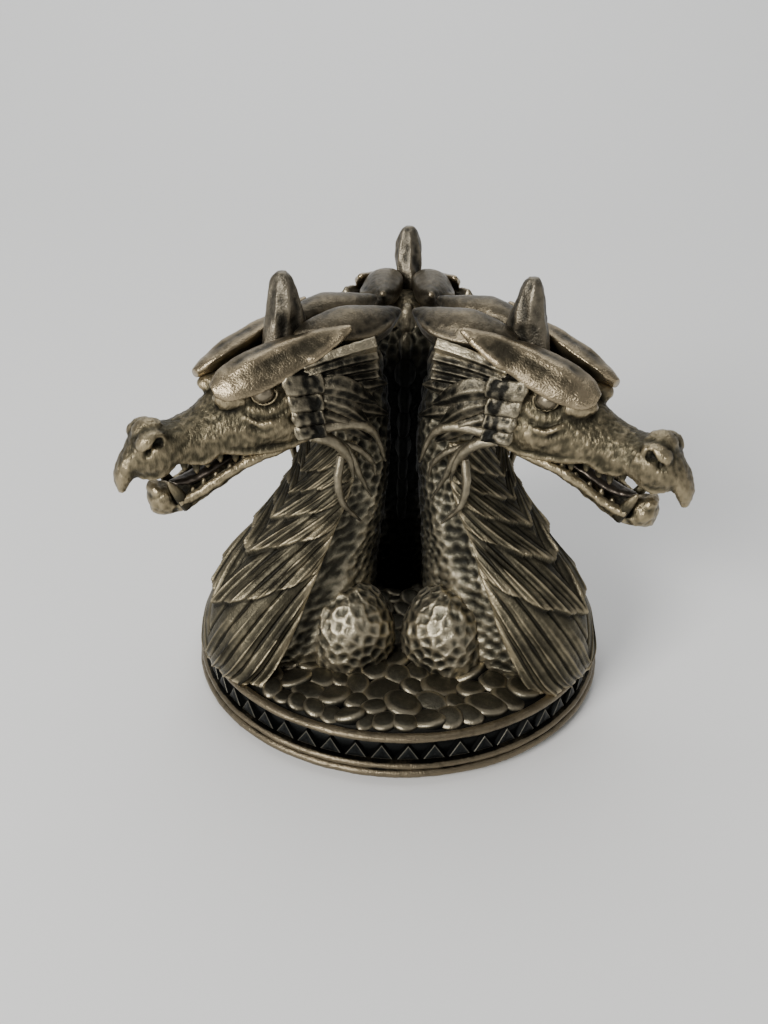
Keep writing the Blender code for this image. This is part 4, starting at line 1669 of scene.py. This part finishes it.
    def _up(self, rows: Sequence[Row], *columns: int) -> list[list[float]]:
        """Rows with the lift added to their heights.

        Args:
            rows: The rows.
            *columns: The columns that are heights.

        Returns:
            The lifted rows.
        """
        return [[v + self.lift * (k in columns) for k, v in enumerate(row)] for row in rows]

    def _tube(self, line: Sequence[Row], radii: Row, count: int = 60, around: int = 12) -> Clay:
        """A rounded strand along a line, already lifted.

        Args:
            line: Its points.
            radii: Its radius at its start, middle and end.
            count: How many sections it has.
            around: How many points each section has.

        Returns:
            The strand.
        """
        centres = blended(self._up(line, 2), count)
        along = unit(np.gradient(centres, axis=0))
        side = unit(np.cross(along, (0.05, 0.1, 1.0)))
        rise = np.cross(side, along)
        radius = np.interp(np.linspace(0, 2, count), (0, 1, 2), radii)[:, None, None]
        turn = np.linspace(0, 2 * math.pi, around, endpoint=False)[None, :, None]
        rings = centres[:, None] + radius * (side[:, None] * np.cos(turn) + rise[:, None] * np.sin(turn))
        return Clay.from_rings(rings)

    def _lumps(self, lumps: Sequence[tuple[Row, Row]]) -> list[Clay]:
        """Swellings to fuse into a casting.

        Args:
            lumps: The middle and half sizes of each, not lifted.

        Returns:
            The swellings, with a twin for each that isn't in the middle.
        """
        made = []
        for (x, y, z), size in lumps:
            sides = (1, -1) if y else (1,)
            made += [egg((x, flip * y, z + self.lift), size) for flip in sides]
        return made

    def _fold(self, clay: Clay, folds: Sequence[Fold], both: bool = True) -> Clay:
        """Raises or cuts folds.

        Args:
            clay: The clay.
            folds: The folds, not lifted.
            both: Whether the other side gets them too.

        Returns:
            The same clay.
        """
        for line, width, height in folds:
            clay.ridge(self._up(line, 2), width, height, both)
        return clay

    def skull(self) -> None:
        """The skull: long beaked snout, lips, cheeks, nostrils and eye sockets."""
        parts = [upright_sections(self._up(self.skull_rows, 1, 2, 3), 120, 72)]
        parts.append(loft(self._up(self.beak_rows, 2), 30, 28))
        parts += self._lumps(self.skull_lumps)
        for y in (1, -1):
            lip = [(x, y * (w - 0.75), z + 0.5) for x, w, z in self.lip_line]
            parts.append(self._tube(lip, (0.6, 0.7, 0.85)))
            parts.append(self._lower_lid(y))
        clay = fused(parts, self.voxel, 6)
        x, y, z = self.eye
        clay.dab((x, y + 0.8, z + self.lift - 0.1), 2.6, -1.1)
        self._fold(clay, self.skull_folds)
        x, y, z = self.nostril
        clay.dab((x, y, z + self.lift), 0.8, -1.2)
        clay.rough(4.0, 0.25).rough(1.3, 0.1).smooth(1, 0.4)
        clay.rough(0.5, 0.14, (1, 1, 2.2))
        self.shop.on_busts("skull", clay, self.shop.finishes.skin, contrast=0.8)

    def _lower_lid(self, side: int) -> Clay:
        """The rounded lid that holds an eye from below and behind.

        Args:
            side: 1 on the left, -1 on the right.

        Returns:
            The lid.
        """
        x, y, z = self.eye
        line = []
        for turn in np.radians(np.linspace(150, 395, 16)):
            forward, rise = 2.15 * math.cos(turn), 1.75 * math.sin(turn)
            line.append((x + 0.93 * forward, side * (y + 0.5 - 0.35 * forward - 0.12 * rise), z + rise))
        return self._tube(line, (0.4, 0.6, 0.4))

    def jaw(self) -> None:
        """The lower jaw: thin lips, a hollow between them and a knob at its tip."""
        parts = [upright_sections(self._up(self.jaw_rows, 1, 2, 3), 80, 56), *self._lumps(self.jaw_lumps)]
        for y in (1, -1):
            lip = [(x, y * w, z + 0.1) for x, w, z in self.jaw_lip]
            parts.append(self._tube(lip, (0.9, 0.95, 0.9)))
        clay = self._fold(fused(parts, self.jaw_voxel, 4), self.jaw_folds)
        clay.rough(2.2, 0.25).rough(0.7, 0.12)
        self.shop.on_busts("jaw", clay, self.shop.finishes.skin)

    def teeth(self) -> None:
        """The rows of teeth, and the two large lower canines."""
        places, turns, sizes = [], [], []
        for y in (1, -1):
            line = blended(self._up([(x, y * (w - 1.1), z) for x, w, z in self.lip_line], 2), 60)
            for k, share in enumerate(np.linspace(0.34, 0.78, self.teeth_a_row)):
                places.append(line[int(share * 59)])
                turns.append((math.pi, 0.1 * math.sin(3 * k), 0))
                sizes.append((0.75, 0.62, 1.6 + 0.4 * math.sin(2.3 * k)))
            line = blended(self._up([(x, y * (w - 0.9), z) for x, w, z in self.jaw_lip], 2), 60)
            for k, share in enumerate(np.linspace(0.34, 0.84, self.teeth_a_row)):
                places.append(line[int(share * 59)])
                turns.append((0, 0.12 * math.cos(2 * k), 0))
                sizes.append((0.72, 0.6, 1.4 + 0.35 * math.sin(1.9 * k)))
            x, across, z = self.canine
            places.append(np.array((x, y * across, z + self.lift)))
            turns.append((-0.05 * y, 0.5, 0))
            sizes.append((1.2, 1.0, 5.0))
        finish = self.shop.finishes.skin
        for bust in Bust:
            spin = Matrix.Rotation(math.radians(bust.value), 3, "Z")
            spun = np.array([tuple((spin @ _euler(turn)).to_euler()) for turn in turns])
            there = np.array(places) @ bust.turn().T
            made = scatter(f"{bust.word}_teeth", self._tooth(), there, spun, np.array(sizes), finish)
            made.data.shade_smooth()
            self.shop.adopt(made, finish, BRONZE)

    @staticmethod
    def _tooth() -> bpy.types.Object:
        """A tooth of unit size pointing up, curved slightly backwards."""
        path = ((0, -0.3, 1), (0, 0.1, 1), (-0.1, 0.7, 0.7), (-0.2, 1, 0.25))
        clay = loft([(x, 0, z, girth, girth, girth) for x, z, girth in path], 9, 10)
        rub = 0.36 + 0.34 * smoothstep(0.1, 0.9, clay.points[:, 2])
        return to_object("tooth_shape", clay, rub)

    def tongue(self) -> None:
        """The tongue, low in the mouth, with a groove along it."""
        clay = loft(self._up(self.tongue_rows, 2), 60, 30)
        self._fold(clay, [self.tongue_groove], both=False).rough(0.9, 0.1)
        self.shop.on_busts("tongue", clay, self.shop.finishes.patina, "mouth_patina")

    def horn(self) -> None:
        """The blunt horn, cut in long uneven facets."""
        clay = loft(self._up(self.horn_rows, 2), 70, 64)
        axis = np.array([25.4, 0])
        local = clay.points[:, :2] - axis
        turn = np.arctan2(local[:, 1], local[:, 0])
        facet = np.abs(((turn / (2 * math.pi) * self.horn_facets + 0.3) % 1) - 0.5) * 2
        clay.push((0.4 * facet**2 - 0.2) * (1 - smoothstep(85, 89, clay.points[:, 2])))
        clay.rough(3.0, 0.45, (1, 1, 2)).rough(0.9, 0.16, (1, 1, 2))
        self.shop.on_busts("horn", clay, self.shop.finishes.horn, contrast=0.6)

    def plates(self) -> None:
        """The brow plates over the eyes and the crest shells behind the horn."""
        brow = loft(self._up(self.brow_rows, 2), 120, 84, power=1.75, tilt=self.brow_tilt)
        self._fold(brow, self.brow_folds, both=False)
        brow.dab((25.0, 8.4, 78.6 + self.lift), 2.4, -0.4, both=False)
        brow.rough(5.0, 0.3).rough(1.2, 0.05)
        x = brow.points[:, 0]
        ends = 0.24 * smoothstep(36, 40.5, x) + 0.16 * smoothstep(24, 19, x)
        crest = loft(self._up(self.crest_rows, 2), 110, 84, power=2.0, tilt=self.crest_tilt)
        self._fold(crest, [self.crest_fold], both=False).rough(5.0, 0.3).rough(1.3, 0.07)
        finishes = self.shop.finishes
        plates = (("brow", brow, finishes.plate, ends), ("crest", crest, finishes.shell, 0.0))
        for side in Side:
            for node, clay, finish, polish in plates:
                piece = clay if side is Side.LEFT else clay.mirrored()
                self.shop.on_busts(f"{node}_{side.letter}", piece, finish, "rubbed_bronze", polish)

    def eyes(self) -> None:
        """The eyes: smooth balls, each with a faint ring round its iris."""
        x, y, z = self.eye
        centre = np.array((x, y, z + self.lift))
        size = self.eye_radius * np.array((1, 0.95, 0.9))
        ball = egg(centre, size, 36, 48)
        gaze = (ball.points - centre) @ np.array((0.35, 0.93, -0.1))
        ball.push(-0.05 * np.exp(-(((gaze - 0.72 * self.eye_radius) / 0.16) ** 2)))
        self.shop.on_both_sides("eye", ball, self.shop.finishes.eye, "polished_eye")

    def frills(self) -> None:
        """The cheek frills: ear fin, stacked cheek plates, curved leaves and hanging tendrils."""
        parts = [self._blade(*ray, blunt=True) for ray in self.fin_rays]
        parts += [self._blade(*leaf) for leaf in self.leaves]
        for z, wide, tall in self.scutes:
            parts.append(self._scute((26.6 - 0.12 * (72 - z), 9.9, z + self.lift), wide, tall))
        for line, girth in self.tendrils:
            strand = self._tube(line, (girth, 0.85 * girth, 0.3), 80, 14)
            parts.append(strand.rough(1.8, 0.16))
        clay = Clay.joined(parts)
        front, high = clay.points[:, 0], clay.points[:, 2]
        polish = 0.34 * smoothstep(76.0, 78.0, high) + 0.16 * smoothstep(23.0, 24.5, front) - 0.22
        self.shop.on_both_sides("frill", clay, self.shop.finishes.fin, polish=polish)

    @staticmethod
    def _scute(centre: Row, wide: float, tall: float) -> Clay:
        """A squarish cheek plate, fluted along its length and curling out at its rear edge.

        Args:
            centre: Its middle, lifted.
            wide: Its half width.
            tall: Its half height.

        Returns:
            The plate.
        """
        plate = egg((0, 0, 0), (1, 1, 1), 44, 64)
        x, y, z = plate.points.T
        flat = np.maximum(np.abs(x), np.abs(z)) + 1e-6
        square = (np.hypot(x, z) / flat) ** 0.6
        x, z = x * square * wide, z * square * tall
        curl = 0.7 * smoothstep(0.1, 1.0, -x / wide)
        flutes = 0.07 * np.sin(2 * math.pi * x / 0.9) * (z > 0)
        flutes = flutes + 0.45 * np.exp(-(((x / wide + 0.85) / 0.16) ** 2))
        shingle = -0.5 * z / tall - 0.3 * smoothstep(0.6, 0.95, z / tall)
        out = 1.15 * y + curl + (y > 0) * flutes + shingle
        plate.points = np.stack([x + 0.12 * z, out, z], 1) + np.array(centre)
        return plate.smooth(2).rough(1.2, 0.2)

    def _blade(self, root: Row, middle: Row, tip: Row, width: float, blunt: bool = False) -> Clay:
        """A flattened ray with a rib along it.

        Args:
            root: Where it starts.
            middle: The place that it bends through.
            tip: Where it ends.
            width: Its half width.
            blunt: Whether it ends square, like a cut fin.

        Returns:
            The ray.
        """
        spine = blended(self._up([root, middle, tip], 2), 44)
        along = unit(np.gradient(spine, axis=0))
        out = unit(np.array([0.0, 1.0, 0.0]) - along * along[:, 1:2])
        side = np.cross(along, out)
        t = np.linspace(0, 1, 44)
        taper = (0.75 + 0.25 * t) if blunt else np.sin(math.pi * (0.12 + 0.86 * t)) ** 0.8
        turn = np.linspace(0, 2 * math.pi, 26, endpoint=False)
        c, s = superellipse(turn, 1.5)
        rib = 1 + 0.5 * np.exp(-((c / 0.22) ** 2)) * (s > 0)
        rings = spine[:, None] + side[:, None] * (width * taper[:, None] * c)[..., None]
        rings = rings + out[:, None] * (self.blade_thickness * taper[:, None] * s * rib)[..., None]
        return Clay.from_rings(rings).rough(1.2, 0.12)

    def build(self) -> None:
        """Makes every piece of the head."""
        self.skull()
        self.jaw()
        self.teeth()
        self.tongue()
        self.horn()
        self.plates()
        self.eyes()
        self.frills()


def _euler(angles: Row) -> Matrix:
    """The turn that three Euler angles make."""
    x, y, z = (Matrix.Rotation(angle, 3, axis) for angle, axis in zip(angles, "XYZ", strict=True))
    return z @ y @ x


# ------------------------------------------------------------------------------
# The studio.


@dataclass
class Studio:
    """The pale floor, the soft lights and the camera."""

    camera_distance: float = 178.5
    camera_height: float = 133.7
    aim_height: float = 34.7
    aim_left_degrees: float = 1.05
    roll_degrees: float = 1.55
    focal_share: float = 947 / 1024
    floor_size: float = 3.0
    sensor: float = 36.0

    def floor(self) -> None:
        """A pale sweep: flat under the stand, and curving up behind it."""
        half, back, rise = self.floor_size / 2, 0.5, 1.25
        angles = np.linspace(0, math.pi / 2, 14)
        curve = [(-half, 0.0), (back, 0.0)]
        curve += [(back + rise * math.sin(a), rise * (1 - math.cos(a))) for a in angles[1:]]
        curve.append((back + rise, 2.2))
        mesh = bpy.data.meshes.new("floor")
        points = [(side * half * 1.6, y, z) for y, z in curve for side in (-1, 1)]
        faces = [(2 * k, 2 * k + 1, 2 * k + 3, 2 * k + 2) for k in range(len(curve) - 1)]
        mesh.from_pydata(points, [], faces)
        mesh.shade_smooth()
        sweep = bpy.data.objects.new("floor", mesh)
        bpy.context.scene.collection.objects.link(sweep)
        paper = bpy.data.materials.new("pale_paper")
        paper.use_nodes = True
        shader = paper.node_tree.nodes["Principled BSDF"]
        shader.inputs["Base Color"].default_value = (0.8, 0.795, 0.78, 1.0)
        shader.inputs["Roughness"].default_value = 0.9
        mesh.materials.append(paper)

    @staticmethod
    def _softbox(name: str, place: Row, aim: Row, size: float, power: float, colour: Row) -> None:
        """Hangs a square soft light.

        Args:
            name: The light's name.
            place: Where it hangs.
            aim: The point it faces.
            size: Its side.
            power: Its power in watts.
            colour: Its colour.
        """
        data = bpy.data.lights.new(name, "AREA")
        data.shape = "SQUARE"
        data.size = size
        data.energy = power
        data.color = colour
        light = bpy.data.objects.new(name, data)
        light.location = place
        light.rotation_euler = (Vector(aim) - Vector(place)).to_track_quat("-Z", "Y").to_euler()
        bpy.context.scene.collection.objects.link(light)

    def lights(self) -> None:
        """A key light at the upper left, a large one over the sweep behind, a weak one and a dim room."""
        centre = (0.0, 0.0, 0.04)
        self._softbox("key_light", (-0.55, -0.75, 0.5), centre, 0.4, 13.8, (1.0, 0.985, 0.96))
        self._softbox("top_light", (-0.1, 0.9, 1.5), (0.0, 1.5, 0.0), 1.8, 23.0, (0.97, 0.985, 1.0))
        self._softbox("side_light", (0.7, -0.35, 0.35), centre, 0.35, 0.5, (1.0, 0.97, 0.93))
        world = bpy.data.worlds.new("room")
        world.use_nodes = True
        shade = world.node_tree.nodes["Background"]
        shade.inputs["Color"].default_value = (0.9, 0.92, 0.95, 1.0)
        shade.inputs["Strength"].default_value = 0.26
        bpy.context.scene.world = world

    def camera(self) -> None:
        """A camera in front of the gap between two busts, looking down on the stand."""
        place = Vector((0, -self.camera_distance, self.camera_height)) * MM
        aim = Vector((0, 0, self.aim_height)) * MM
        look = (aim - place).to_track_quat("-Z", "Y").to_matrix()
        look = look @ Matrix.Rotation(math.radians(self.aim_left_degrees), 3, "Y")
        look = look @ Matrix.Rotation(math.radians(self.roll_degrees), 3, "Z")
        data = bpy.data.cameras.new("camera")
        data.sensor_width = self.sensor
        data.lens = self.sensor * self.focal_share
        data.clip_start = 0.01
        camera = bpy.data.objects.new("camera", data)
        camera.location = place
        camera.rotation_euler = look.to_euler()
        bpy.context.scene.collection.objects.link(camera)
        bpy.context.scene.camera = camera

    def build(self) -> None:
        """Sets up the whole studio."""
        self.floor()
        self.lights()
        self.camera()


def main() -> None:
    """Builds the stand's pieces in order, then the studio."""
    logging.basicConfig(level=logging.INFO, format="%(name)s %(message)s")
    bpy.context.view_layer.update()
    shop = Workshop(Finishes())
    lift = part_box("rear_horn")[1].z / MM - Head.horn_rows[-1][2]
    for part in (Plinth(shop), Body(shop, lift), Head(shop, lift)):
        part.build()
    Studio().build()
    LOG.info("%d pieces placed", shop.count)


if __name__ == "__main__":
    main()
